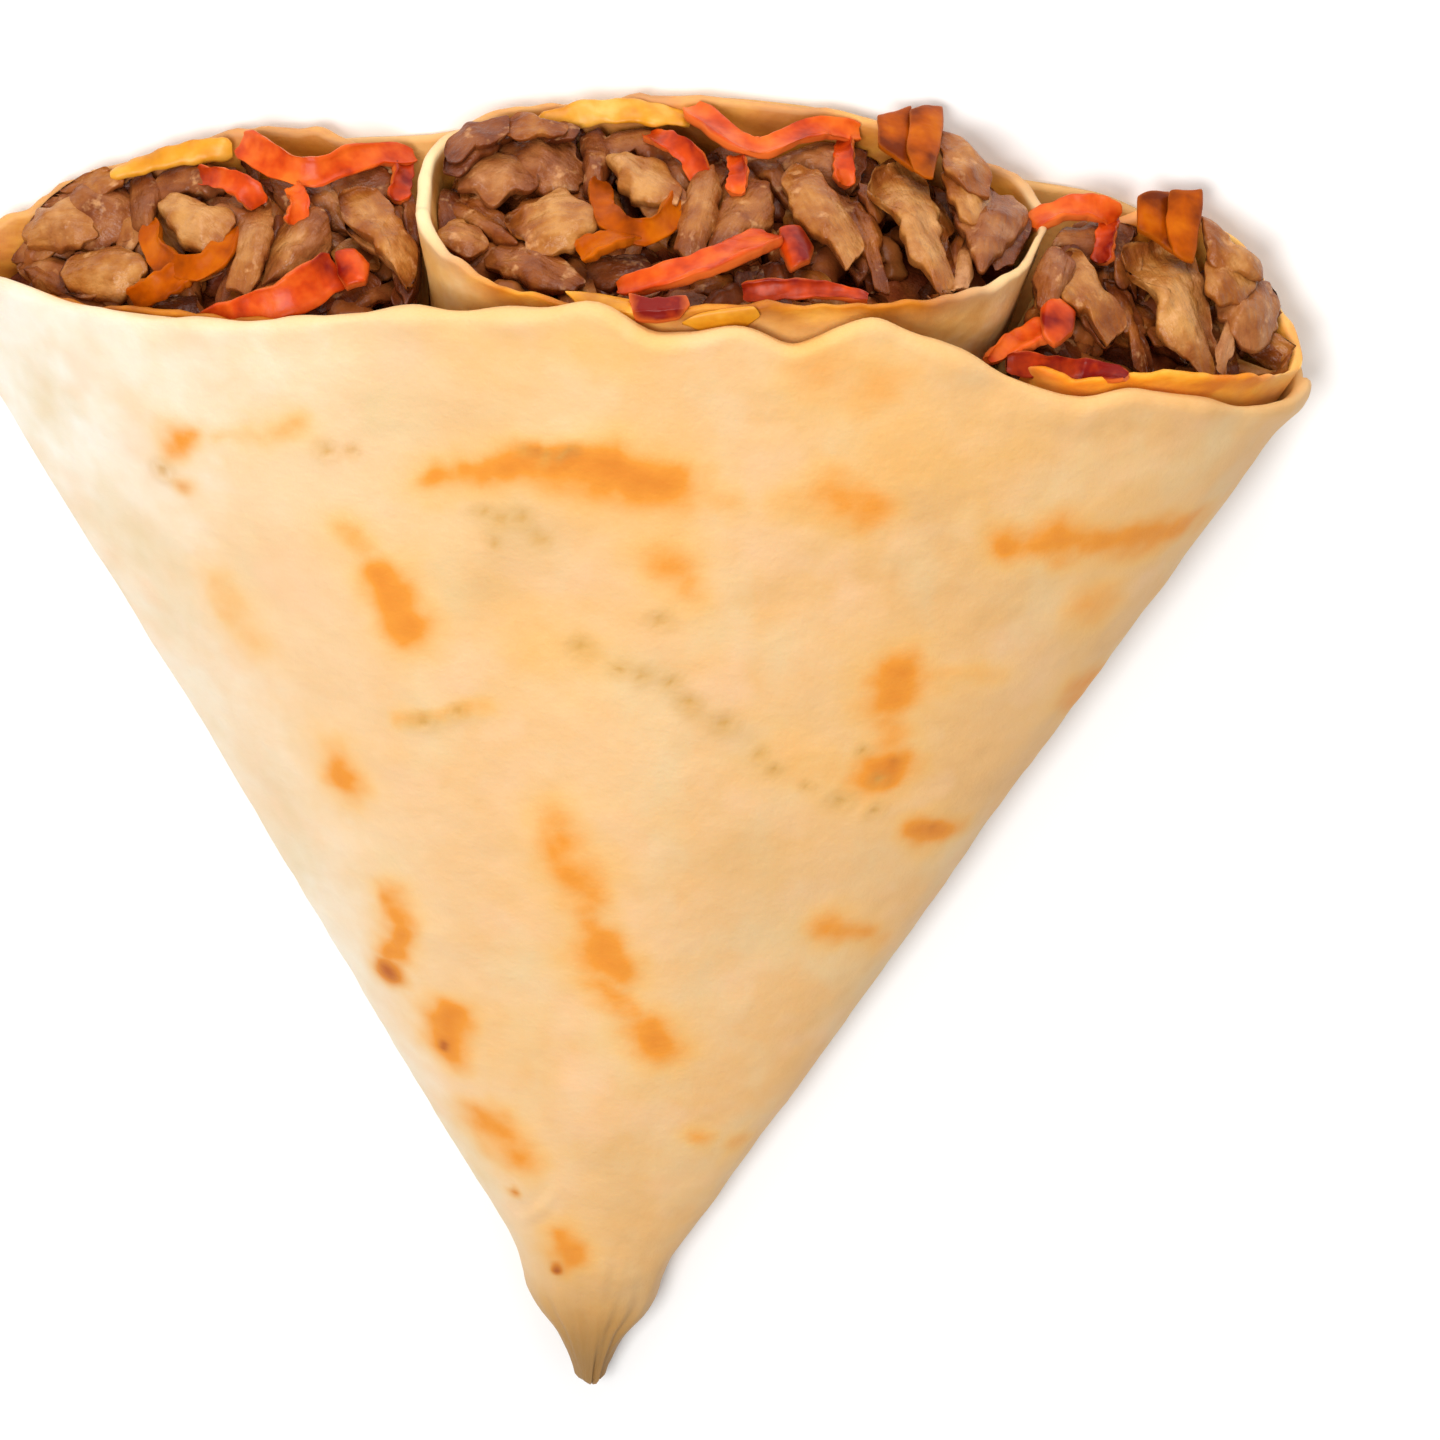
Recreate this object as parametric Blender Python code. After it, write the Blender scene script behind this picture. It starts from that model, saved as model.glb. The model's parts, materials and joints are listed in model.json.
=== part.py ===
"""Meat crepe: one large crepe folded to a flat cone round three small rolled crepes full of meat and pepper.

It lies on its back panel with the shown panel up. The mouth of the cone faces -Y and the tip faces +Y.
Lengths are in millimetres and angles in degrees until the meshes are made, which are in metres.
The fan frame has the tip at the origin, the mouth towards +Y and the panel up; one empty turns it to the
part's frame.
"""

import math
import random

import bmesh
import bpy
from mathutils import Vector

MM = 0.001

# Driving dimensions of the cone: a 400 mm crepe, folded in half and then in thirds
CREPE_RADIUS = 200.0
HALF_ANGLE = math.radians(29.6)
CREPE_THICKNESS = 2.2
LINING_THICKNESS = 2.0
LAYER_GAP = 0.8
LINING_GAP = 0.5
TOUCH_GAP = 0.35

# The tip is pinched shut: it keeps a width and a height where plain folds would meet in a point
TIP_HEIGHT = 7.0
TIP_PUFF = 3.4
TIP_PUFF_REACH = 38.0
TIP_CAP = 2.6

# Height of the mouth across the fan, from its left corner (-1) to its right corner (1)
MOUTH_HEIGHT = [(-1.0, 11.0), (-0.8, 29.0), (-0.55, 41.0), (-0.3, 46.0), (0.08, 52.0),
                (0.45, 49.0), (0.75, 43.0), (0.92, 35.0), (1.0, 24.0)]
SLOPE_POWER = 0.95
TOP_ROUNDNESS = 2.4
FLAT_SHARE = 0.8

# Lip of the large crepe: fan angle and distance from the tip, scalloped in front, plainer behind
FRONT_LIP = [(-29.6, 196.0), (-26.0, 194.0), (-23.6, 190.0), (-19.4, 186.5), (-16.4, 185.0), (-8.2, 185.0),
             (-3.7, 185.5), (-1.3, 187.8), (1.2, 184.3), (2.8, 184.9), (4.8, 186.9), (7.3, 184.4),
             (9.9, 188.8), (12.5, 186.0), (15.9, 182.5), (19.6, 182.4), (21.6, 186.0), (26.7, 188.0),
             (29.6, 188.0)]
BACK_LIP = [(-29.6, 196.0), (-21.3, 198.5), (-12.2, 198.0), (-8.0, 197.0), (-3.0, 197.5), (2.0, 199.0),
            (9.0, 199.5), (14.0, 197.0), (19.6, 199.0), (29.6, 191.0)]

# The three rolled crepes: edges as fan angles, and their lips from left to right, in front and behind
POCKETS = {
    "left": {"edges": (-29.6, -8.6), "leans": (0.0, 0.0),
             "front": [(0.0, 193.0), (0.4, 187.5), (1.0, 181.0)],
             "back": [(0.0, 199.5), (0.4, 201.5), (0.8, 200.5), (1.0, 193.0)]},
    "middle": {"edges": (-8.6, 16.5), "leans": (0.0, -1.2),
               "front": [(0.0, 187.5), (0.15, 185.8), (0.35, 185.2), (0.55, 188.0), (0.8, 189.8),
                         (1.0, 191.5)],
               "back": [(0.0, 198.0), (0.35, 200.3), (0.7, 200.8), (1.0, 198.5)]},
    "right": {"edges": (16.5, 29.6), "leans": (-1.2, 0.0),
              "front": [(0.0, 179.0), (0.5, 187.0), (1.0, 190.0)],
              "back": [(0.0, 193.0), (0.4, 202.0), (1.0, 195.0)]},
}
FRONT_ROUNDNESS = 2.9
BACK_ROUNDNESS = 4.2

# How deep the pockets and the large crepe's own hollow reach, as distances from the tip
HOLLOW_START = 30.0
ROLL_START = 34.0
FILLING_START = 42.0
FACE_RECESS = 4.0
OVERHANG = 16.0

# Number of sides and the stations along the cone, as shares of the distance from tip to lip
CREPE_SIDES = 72
ROLL_SIDES = 26
CREPE_STATIONS = [0.0, 0.05, 0.11, 0.19, 0.34, 0.55, 0.78, 0.92, 1.0]
HOLLOW_STATIONS = [1.0, 0.75, 0.4, 0.24]
ROLL_STATIONS = [0.2, 0.33, 0.6, 0.86, 1.0]
ROLL_HOLLOW_STATIONS = [1.0, 0.86, 0.6, 0.33]
STRIP_SIDES = 7
STRIP_RINGS = 5

CREPE_COLOUR = (0.86, 0.64, 0.36)
LINING_COLOUR = (0.86, 0.60, 0.27)
MEAT_COLOUR = (0.34, 0.15, 0.07)
RED_PEPPER_COLOUR = (0.72, 0.10, 0.03)
ORANGE_PEPPER_COLOUR = (0.62, 0.19, 0.02)
CHEESE_COLOUR = (0.88, 0.50, 0.08)

# Cut pieces on the filling's face, as seen in the middle pocket. Each path point is millimetres across from
# the pocket's left edge, share of the way up from the back wall, and millimetres out of the recessed face.
ACROSS_RADIUS = 190.0
LEFT_SHIFT = 5.6
RIGHT_SHIFT = -45.7
MEAT_STRIPS = [
    # pockets, width, depth, path
    ("LM", 12.0, 7.0, [(4, 0.38, 0), (9, 0.27, 3), (16, 0.36, 1)]),
    ("LM", 10.0, 8.0, [(14, 0.08, 0), (18, 0.20, 4), (23, 0.40, 1)]),
    ("LM", 9.0, 7.0, [(12, 0.44, 0), (17, 0.56, 3), (24, 0.62, 1)]),
    ("LM", 8.0, 8.0, [(3, 0.58, 0), (7, 0.66, 2), (11, 0.68, 0)]),
    ("LM", 6.0, 6.0, [(10, 0.74, 0), (15, 0.82, 2), (22, 0.90, 0)]),
    ("LM", 10.0, 8.0, [(25, 0.26, 0), (29, 0.36, 4), (34, 0.48, 1)]),
    ("LM", 8.0, 7.0, [(24, 0.10, 0), (29, 0.16, 3), (35, 0.26, 0)]),
    ("LM", 7.5, 7.0, [(38, 0.26, 0), (37, 0.50, 3), (36, 0.76, 0)]),
    ("LM", 8.0, 7.0, [(46, 0.30, 0), (43, 0.46, 4), (41, 0.68, 0)]),
    ("LMR", 9.0, 8.0, [(49, 0.30, 1), (53, 0.46, 4), (58, 0.66, 1)]),
    ("LMR", 8.0, 6.0, [(48, 0.16, 0), (54, 0.18, 3), (59, 0.22, 0)]),
    ("MR", 5.0, 6.0, [(58, 0.38, 0), (60, 0.54, 2), (62, 0.76, 0)]),
    ("MR", 11.0, 9.0, [(61, 0.20, 1), (66, 0.42, 5), (71, 0.78, 1)]),
    ("MR", 4.0, 4.5, [(75, 0.46, 1), (75, 0.62, 3), (74, 0.80, 1)]),
    ("MR", 12.0, 10.0, [(69, 0.08, 1), (74, 0.24, 5), (78, 0.46, 0)]),
]
PEPPER_STRIPS = [
    # name, pockets, width, depth, path
    ("red_pepper_long", "LMR", 8.0, 3.4,
     [(36, 0.04, 4), (40, 0.14, 6), (45, 0.19, 7), (51, 0.13, 6), (57, 0.08, 4)]),
    ("red_pepper_curved", "LM", 8.0, 4.5, [(30, 0.86, 2), (36, 0.85, 4), (42, 0.78, 5), (47, 0.62, 2)]),
    ("red_pepper_small", "LM", 6.0, 3.6, [(31, 0.03, 3), (35, 0.18, 5), (38, 0.34, 4)]),
    ("red_pepper_cut", "MR", 6.0, 5.0, [(50, 0.50, 1), (51, 0.61, 4), (53, 0.72, 2)]),
    ("red_pepper_flat", "MR", 5.5, 3.0, [(51, 0.88, 1), (56, 0.88, 3), (61, 0.90, 1)]),
    ("orange_pepper_curved", "LM", 5.0, 3.6, [(23, 0.44, 2), (26, 0.61, 5), (30, 0.65, 6), (35, 0.55, 3)]),
    ("orange_pepper_upright", "MR", 9.0, 3.6, [(66, 0.0, 11), (66, 0.06, 5), (67, 0.16, 0)]),
]
CHEESE_STRIPS = [
    ("cheese_back", "LM", 6.0, 2.6, [(16, 0.03, 1), (24, 0.02, 3), (31, 0.01, 1)]),
    ("cheese_front", "LM", 4.0, 2.6, [(21, 0.94, 0), (25, 0.94, 2), (29, 0.95, 0)]),
]


def curve_value(points, at):
    """Read a smooth curve through (position, value) points."""
    at = min(max(at, points[0][0]), points[-1][0])
    slopes = []
    for i in range(len(points)):
        before = points[max(i - 1, 0)]
        after = points[min(i + 1, len(points) - 1)]
        slopes.append((after[1] - before[1]) / (after[0] - before[0]))
    i = 0
    while i < len(points) - 2 and at > points[i + 1][0]:
        i += 1
    span = points[i + 1][0] - points[i][0]
    t = (at - points[i][0]) / span
    value = points[i][1] * (2 * t**3 - 3 * t**2 + 1) + slopes[i] * span * (t**3 - 2 * t**2 + t)
    return value + points[i + 1][1] * (3 * t**2 - 2 * t**3) + slopes[i + 1] * span * (t**3 - t**2)


def signed_power(value, power):
    """Keep the sign of a value while raising its size to a power."""
    return math.copysign(abs(value) ** power, value)


def half_width(reach):
    """Half the cone's width at a distance from the tip."""
    return reach * math.sin(HALF_ANGLE) + TIP_PUFF * math.exp(-(reach / TIP_PUFF_REACH) ** 2)


def cone_height(across, reach):
    """Full height of the cone, from its back panel up to its shown panel."""
    mouth = curve_value(MOUTH_HEIGHT, across)
    return TIP_HEIGHT + (mouth - TIP_HEIGHT) * (reach / CREPE_RADIUS) ** SLOPE_POWER


def layer_heights(across, reach, inset):
    """Lower and upper height of a closed layer that keeps a distance inside the cone's skin."""
    edge = 1.0 - inset / half_width(reach)
    share = min(abs(across) / edge, 1.0)
    height = cone_height(across, reach)
    half = (height - 2.0 * inset) / 2.0
    crown = (1.0 - share**TOP_ROUNDNESS) ** (1.0 / TOP_ROUNDNESS)
    heel = max(0.0, (share - FLAT_SHARE) / (1.0 - FLAT_SHARE))
    lift = 1.0 - math.sqrt(1.0 - heel**2)
    return inset + half * lift, inset + half * (1.0 + crown)


def fan_point(across, reach, height):
    """Place a point by its share across the fan, its distance from the tip and its height."""
    x = half_width(reach) * math.sin(HALF_ANGLE * across) / math.sin(HALF_ANGLE)
    return Vector((x, reach * math.cos(HALF_ANGLE * across), height))


def front_share(turn):
    """How far a point on a ring belongs to the front lip (1) or the back lip (0)."""
    t = min(max(math.sin(turn) / 0.6 + 0.5, 0.0), 1.0)
    return t * t * (3.0 - 2.0 * t)


def crepe_ring(share, inset, extra=0.0):
    """One ring round the large crepe, at a share of the way from tip to lip."""
    ring = []
    for i in range(CREPE_SIDES):
        turn = 2.0 * math.pi * i / CREPE_SIDES
        across = signed_power(math.cos(turn), 0.85)
        angle = math.degrees(HALF_ANGLE) * across
        mix = front_share(turn)
        lip = curve_value(FRONT_LIP, angle) * mix + curve_value(BACK_LIP, angle) * (1.0 - mix) + extra
        reach = lip * share
        across *= 1.0 - inset / half_width(reach)
        low, high = layer_heights(across, reach, inset)
        if abs(math.sin(turn)) < 1e-6:
            height = (low + high) / 2.0
        elif math.sin(turn) > 0.0:
            height = high
        else:
            height = low
        ring.append(fan_point(across, reach, height))
    return ring


def pocket_edges(pocket, reach, rise, inset):
    """Left and right edge of a pocket as shares across the fan, kept clear of its neighbours."""
    whole = math.degrees(HALF_ANGLE)
    edges = []
    for angle, lean, side in zip(POCKETS[pocket]["edges"], POCKETS[pocket]["leans"], (1.0, -1.0)):
        outer = abs(abs(angle) - whole) < 1e-6
        clear = CREPE_THICKNESS + LAYER_GAP if outer else LAYER_GAP / 2.0
        edges.append((angle + lean * rise) / whole + side * (clear + inset) / half_width(reach))
    return edges


def roll_section(turn, shrink):
    """Sideways and upward share of a roll's rounded section: squarer behind than in front."""
    roundness = FRONT_ROUNDNESS if math.sin(turn) > 0.0 else BACK_ROUNDNESS
    side = signed_power(math.cos(turn), 2.0 / roundness) * shrink
    rise = signed_power(math.sin(turn), 2.0 / roundness) * shrink
    return side, rise


def pocket_point(pocket, turn, reach, inset, shrink=1.0):
    """A point on a roll's wall: a turn round its rounded section, at a distance from the tip."""
    side, rise = roll_section(turn, shrink)
    left, right = pocket_edges(pocket, reach, rise, inset)
    across = (left + right) / 2.0 + side * (right - left) / 2.0
    skin = CREPE_THICKNESS + LAYER_GAP
    low, high = layer_heights(across, reach, skin)
    slack = max(high - low, 0.0)
    trim = min(inset, slack * 0.35)
    return fan_point(across, reach, (low + high) / 2.0 + rise * (slack / 2.0 - trim))


def pocket_lip(pocket, turn, shrink=1.0):
    """Distance from the tip to a roll's lip."""
    side, rise = roll_section(turn, shrink)
    front = curve_value(POCKETS[pocket]["front"], 0.5 + 0.5 * side)
    back = curve_value(POCKETS[pocket]["back"], 0.5 + 0.5 * side)
    return back + (front - back) * (0.5 + 0.5 * rise)


def pocket_ring(pocket, share, inset, extra=0.0, shrink=1.0):
    """One ring of a roll at a share of the way from tip to lip."""
    ring = []
    for i in range(ROLL_SIDES):
        turn = 2.0 * math.pi * i / ROLL_SIDES
        reach = (pocket_lip(pocket, turn, shrink) + extra) * share
        ring.append(pocket_point(pocket, turn, reach, inset, shrink))
    return ring


def face_point(pocket, across_mm, up, out):
    """Place a point on or above the filling's recessed face."""
    left, right = POCKETS[pocket]["edges"]
    angle = left + math.degrees(across_mm / ACROSS_RADIUS)
    side = (angle - left) / (right - left)
    front = curve_value(POCKETS[pocket]["front"], side)
    back = curve_value(POCKETS[pocket]["back"], side)
    reach = back + (front - back) * up - FACE_RECESS + out
    across = angle / math.degrees(HALF_ANGLE)
    wall = CREPE_THICKNESS + LAYER_GAP + LINING_THICKNESS + LINING_GAP
    low, high = layer_heights(across, reach, wall)
    return fan_point(across, reach, low + (high - low) * up)


def ring_mesh(rings, start, end):
    """Close a stack of rings with a fan at each end and return it as a bmesh in metres."""
    mesh = bmesh.new()
    loops = []
    for ring in rings:
        loops.append([mesh.verts.new(point * MM) for point in ring])
    for lower, upper in zip(loops, loops[1:]):
        count = len(lower)
        for i in range(count):
            j = (i + 1) % count
            mesh.faces.new((lower[i], lower[j], upper[j], upper[i]))
    first = mesh.verts.new(start * MM)
    last = mesh.verts.new(end * MM)
    count = len(loops[0])
    for i in range(count):
        j = (i + 1) % count
        mesh.faces.new((first, loops[0][j], loops[0][i]))
        mesh.faces.new((last, loops[-1][i], loops[-1][j]))
    bmesh.ops.recalc_face_normals(mesh, faces=mesh.faces)
    bmesh.ops.triangulate(mesh, faces=mesh.faces)
    return mesh


def centre_of(ring):
    """The middle of a ring."""
    total = Vector((0.0, 0.0, 0.0))
    for point in ring:
        total += point
    return total / len(ring)


def material(name, colour, roughness):
    """A plain Principled material."""
    made = bpy.data.materials.new(name)
    made.use_nodes = True
    shader = made.node_tree.nodes["Principled BSDF"]
    shader.inputs["Base Color"].default_value = (*colour, 1.0)
    shader.inputs["Roughness"].default_value = roughness
    shader.inputs["Metallic"].default_value = 0.0
    return made


def add_object(name, mesh, parent, finish):
    """Turn a bmesh into a named, smooth-shaded object under the frame's empty."""
    data = bpy.data.meshes.new(name)
    mesh.to_mesh(data)
    mesh.free()
    data.materials.append(finish)
    data.shade_smooth()
    made = bpy.data.objects.new(name, data)
    bpy.context.scene.collection.objects.link(made)
    made.parent = parent
    return made


def outer_crepe_mesh():
    """The large crepe: a shell from the rounded tip to the scalloped lip, hollow where the rolls sit."""
    tip = crepe_ring(0.0, 0.0)
    middle = centre_of(tip)
    rings = []
    for size in (0.5, 0.86):
        push = Vector((0.0, -TIP_CAP * math.sqrt(1.0 - size**2), 0.0))
        rings.append([middle + (point - middle) * size + push for point in tip])
    rings += [crepe_ring(share, 0.0) for share in CREPE_STATIONS]
    rings.append(crepe_ring(1.0, CREPE_THICKNESS / 2.0, extra=0.7))
    rings += [crepe_ring(share, CREPE_THICKNESS) for share in HOLLOW_STATIONS]
    rings.append(crepe_ring(HOLLOW_START / CREPE_RADIUS, CREPE_THICKNESS))
    start = middle + Vector((0.0, -TIP_CAP, 0.0))
    return ring_mesh(rings, start, centre_of(rings[-1]))


def roll_mesh(pocket):
    """A small crepe rolled to a tube, closed at the bottom, lining one pocket."""
    first = ROLL_START / CREPE_RADIUS
    rings = [pocket_ring(pocket, first, 0.0)]
    rings += [pocket_ring(pocket, share, 0.0) for share in ROLL_STATIONS]
    rings.append(pocket_ring(pocket, 1.0, LINING_THICKNESS / 2.0, extra=0.6))
    rings += [pocket_ring(pocket, share, LINING_THICKNESS) for share in ROLL_HOLLOW_STATIONS]
    rings.append(pocket_ring(pocket, (FILLING_START - 2.0) / CREPE_RADIUS, LINING_THICKNESS))
    return ring_mesh(rings, centre_of(rings[0]), centre_of(rings[-1]))


def core_mesh(pocket, seed):
    """The packed filling below its face, with an uneven face of its own."""
    rng = random.Random(seed)
    inset = LINING_THICKNESS + LINING_GAP
    rings = [pocket_ring(pocket, FILLING_START / CREPE_RADIUS, inset)]
    rings += [pocket_ring(pocket, share, inset, extra=-FACE_RECESS) for share in (0.33, 0.6, 0.86, 1.0)]
    for shrink in (0.84, 0.6, 0.3):
        ring = pocket_ring(pocket, 1.0, inset, extra=-FACE_RECESS, shrink=shrink)
        for point in ring:
            point.y += rng.uniform(-1.5, 1.5)
        rings.append(ring)
    return ring_mesh(rings, centre_of(rings[0]), centre_of(rings[-1]))


def spline_point(points, t):
    """A point on a smooth curve through all points, for t from 0 to 1."""
    place = t * (len(points) - 1)
    i = min(int(place), len(points) - 2)
    f = place - i
    before = points[i - 1] if i > 0 else points[0] * 2.0 - points[1]
    after = points[i + 2] if i + 2 < len(points) else points[-1] * 2.0 - points[-2]
    here = points[i]
    there = points[i + 1]
    linear = there - before
    square = 2.0 * before - 5.0 * here + 4.0 * there - after
    cubic = 3.0 * here - before - 3.0 * there + after
    return here + 0.5 * (linear * f + square * f**2 + cubic * f**3)


def pocket_space_mesh(pocket):
    """The room inside a roll, run on past its lip, that all filling pieces stay within."""
    inset = LINING_THICKNESS + LINING_GAP - 0.15
    rings = [pocket_ring(pocket, (FILLING_START - 1.0) / CREPE_RADIUS, inset)]
    rings += [pocket_ring(pocket, share, inset) for share in (0.33, 0.6, 0.86, 1.0)]
    rings.append(pocket_ring(pocket, 1.0, inset, extra=OVERHANG))
    return ring_mesh(rings, centre_of(rings[0]), centre_of(rings[-1]))


def strip_mesh(path, width, depth, seed, grow=0.0):
    """A cut strip along a path: a lumpy oval section with blunt rounded ends."""
    rng = random.Random(seed)
    rings = []
    outward = Vector((path[0].x, path[0].y, 0.0)).normalized()
    if abs((path[-1] - path[0]).normalized().dot(outward)) > 0.7:
        outward = Vector((0.0, 0.0, 1.0))
    for k in range(STRIP_RINGS):
        t = 0.5 - 0.5 * math.cos(math.pi * (k + 0.35) / (STRIP_RINGS - 0.3))
        here = spline_point(path, t)
        behind = spline_point(path, max(t - 0.02, 0.0))
        along = (spline_point(path, min(t + 0.02, 1.0)) - behind).normalized()
        sideways = along.cross(outward).normalized()
        facing = sideways.cross(along).normalized()
        here = here + along * grow * (2.0 * t - 1.0)
        size = max((1.0 - abs(2.0 * t - 1.0) ** 4) ** 0.5, 0.55)
        ring = []
        for i in range(STRIP_SIDES):
            turn = 2.0 * math.pi * (i + 0.5) / STRIP_SIDES
            lump = 1.0 + rng.uniform(-0.1, 0.1)
            wide = (width / 2.0 * lump * size + grow) * signed_power(math.cos(turn), 0.8)
            deep = (depth / 2.0 * lump * size + grow) * signed_power(math.sin(turn), 0.8)
            ring.append(here + sideways * wide + facing * deep)
        rings.append(ring)
    start = spline_point(path, 0.0)
    end = spline_point(path, 1.0)
    start_out = (start - spline_point(path, 0.05)).normalized() * (0.3 + 2.0 * grow)
    end_out = (end - spline_point(path, 0.95)).normalized() * (0.3 + 2.0 * grow)
    return ring_mesh(rings, start + start_out, end + end_out)


def pocket_shift(pocket):
    """How far the middle pocket's layout slides to serve a pocket."""
    return {"left": LEFT_SHIFT, "middle": 0.0, "right": RIGHT_SHIFT}[pocket]


def strip_path(pocket, path, jitter):
    """Turn a layout path into fan-frame points, with small differences from pocket to pocket."""
    rng = random.Random(jitter)
    points = []
    for across_mm, up, out in path:
        slide = across_mm + pocket_shift(pocket)
        if pocket != "middle":
            slide += rng.uniform(-0.6, 0.6)
            up += rng.uniform(-0.02, 0.02)
        points.append(face_point(pocket, slide, up, out))
    return points


def combine(base, operation, others):
    """Apply one Boolean between a base and a collection of other objects."""
    group = bpy.data.collections.new(base.name + "_others")
    for other in others:
        group.objects.link(other)
    step = base.modifiers.new("combine", "BOOLEAN")
    step.operation = operation
    step.operand_type = "COLLECTION"
    step.collection = group
    step.solver = "MANIFOLD"
    apply_modifiers(base)
    bpy.data.collections.remove(group)


def remove_all(others):
    """Remove helper objects."""
    for other in others:
        bpy.data.objects.remove(other)


def apply_modifiers(owner):
    """Replace an object's mesh by its evaluated shape."""
    bpy.context.view_layer.update()
    graph = bpy.context.evaluated_depsgraph_get()
    shape = bpy.data.meshes.new_from_object(owner.evaluated_get(graph))
    owner.modifiers.clear()
    owner.data = shape


def keep_largest(owner):
    """Drop loose scraps that cutting may leave."""
    mesh = bmesh.new()
    mesh.from_mesh(owner.data)
    left = set(mesh.verts)
    bodies = []
    while left:
        body = set()
        front = [left.pop()]
        while front:
            vert = front.pop()
            body.add(vert)
            for edge in vert.link_edges:
                other = edge.other_vert(vert)
                if other in left:
                    left.remove(other)
                    front.append(other)
        bodies.append(body)
    bodies.sort(key=len)
    for body in bodies[:-1]:
        bmesh.ops.delete(mesh, geom=list(body), context="VERTS")
    mesh.to_mesh(owner.data)
    mesh.free()


def main():
    for old in list(bpy.data.objects):
        bpy.data.objects.remove(old)
    frame = bpy.data.objects.new("fan_frame", None)
    bpy.context.scene.collection.objects.link(frame)

    crepe = material("crepe", CREPE_COLOUR, 0.6)
    lining = material("lining", LINING_COLOUR, 0.55)
    meat = material("meat", MEAT_COLOUR, 0.5)
    red = material("red_pepper", RED_PEPPER_COLOUR, 0.3)
    orange = material("orange_pepper", ORANGE_PEPPER_COLOUR, 0.3)
    cheese = material("cheese", CHEESE_COLOUR, 0.4)

    solids = [add_object("outer_crepe", outer_crepe_mesh(), frame, crepe)]
    finishes = {"red": red, "orange": orange, "cheese": cheese}
    for number, pocket in enumerate(POCKETS):
        letter = pocket[0].upper()
        solids.append(add_object(pocket + "_roll", roll_mesh(pocket), frame, lining))
        space = add_object("space", pocket_space_mesh(pocket), frame, lining)

        rooms = []
        for k, (name, where, width, depth, path) in enumerate(PEPPER_STRIPS + CHEESE_STRIPS):
            if letter not in where:
                continue
            seed = 1000 + 100 * number + k
            points = strip_path(pocket, path, seed)
            shape = strip_mesh(points, width, depth, seed)
            piece = add_object(pocket + "_" + name, shape, frame, finishes[name.split("_")[0]])
            combine(piece, "INTERSECT", [space])
            if rooms:
                combine(piece, "DIFFERENCE", rooms)
            keep_largest(piece)
            solids.append(piece)
            room = strip_mesh(points, width, depth, seed, grow=TOUCH_GAP)
            rooms.append(add_object("room", room, frame, lining))

        core = add_object(pocket + "_filling", core_mesh(pocket, 40 + number), frame, meat)
        strips = []
        for k, (where, width, depth, path) in enumerate(MEAT_STRIPS):
            if letter in where:
                seed = 100 * number + k
                shape = strip_mesh(strip_path(pocket, path, seed), width, depth, seed)
                strips.append(add_object("strip", shape, frame, meat))
        combine(core, "UNION", strips)
        combine(core, "INTERSECT", [space])
        combine(core, "DIFFERENCE", rooms)
        keep_largest(core)
        solids.append(core)
        remove_all(strips + rooms + [space])

    ends = [point for solid in solids for point in (v.co for v in solid.data.vertices)]
    middle_x = (min(p.x for p in ends) + max(p.x for p in ends)) / 2.0
    middle_y = (min(p.y for p in ends) + max(p.y for p in ends)) / 2.0
    lowest = min(p.z for p in ends)
    frame.rotation_euler = (0.0, 0.0, math.pi)
    frame.location = (middle_x, middle_y, -lowest)


main()
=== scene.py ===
# %% [markdown]
# # A folded meat crepe with three filled pockets
#
# The real thing is one large pan-baked crepe folded to a flat cone, with its mouth open on three smaller
# rolled crepes full of roast meat, pepper strips and a little cheese. It lies on its back panel, so we look
# down on it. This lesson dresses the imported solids: each visible piece is modelled finely over the solid
# that it stands for.

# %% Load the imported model
import json
import math
import random

import bpy
import numpy as np
from mathutils import Matrix, Vector

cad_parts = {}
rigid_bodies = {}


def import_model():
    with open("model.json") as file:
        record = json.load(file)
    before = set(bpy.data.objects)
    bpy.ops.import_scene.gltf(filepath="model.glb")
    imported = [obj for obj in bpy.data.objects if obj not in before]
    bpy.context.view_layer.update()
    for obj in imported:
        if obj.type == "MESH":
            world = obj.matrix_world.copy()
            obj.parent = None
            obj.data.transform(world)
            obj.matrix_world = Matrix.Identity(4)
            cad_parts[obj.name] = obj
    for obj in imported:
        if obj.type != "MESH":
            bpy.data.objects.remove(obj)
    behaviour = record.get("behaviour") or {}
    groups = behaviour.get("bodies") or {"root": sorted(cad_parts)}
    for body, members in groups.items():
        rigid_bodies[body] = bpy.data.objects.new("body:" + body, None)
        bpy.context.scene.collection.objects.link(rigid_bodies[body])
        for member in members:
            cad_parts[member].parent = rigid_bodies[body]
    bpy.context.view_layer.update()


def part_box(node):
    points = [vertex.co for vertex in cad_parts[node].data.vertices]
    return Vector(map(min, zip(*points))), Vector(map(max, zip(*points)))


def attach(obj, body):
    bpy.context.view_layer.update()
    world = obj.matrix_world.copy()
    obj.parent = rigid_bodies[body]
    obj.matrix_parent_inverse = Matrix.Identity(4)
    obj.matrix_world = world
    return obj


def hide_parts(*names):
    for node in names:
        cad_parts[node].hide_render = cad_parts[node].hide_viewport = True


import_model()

# %% [markdown]
# ## The form of the cone
#
# All pieces share one form, so its sizes are written once. We work in a fan frame in millimetres: the tip
# of the cone is the origin, +Y runs from the tip to the mouth and +Z is up. The same rules gave the packed
# solids, so every fine surface here lands on its solid with nothing to fit. Each pocket has two side edges
# in degrees across the fan, a lean of each edge from back to front, and curves for its front and back lip.
# The filling of the right pocket swells where it rests on the middle roll.

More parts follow.
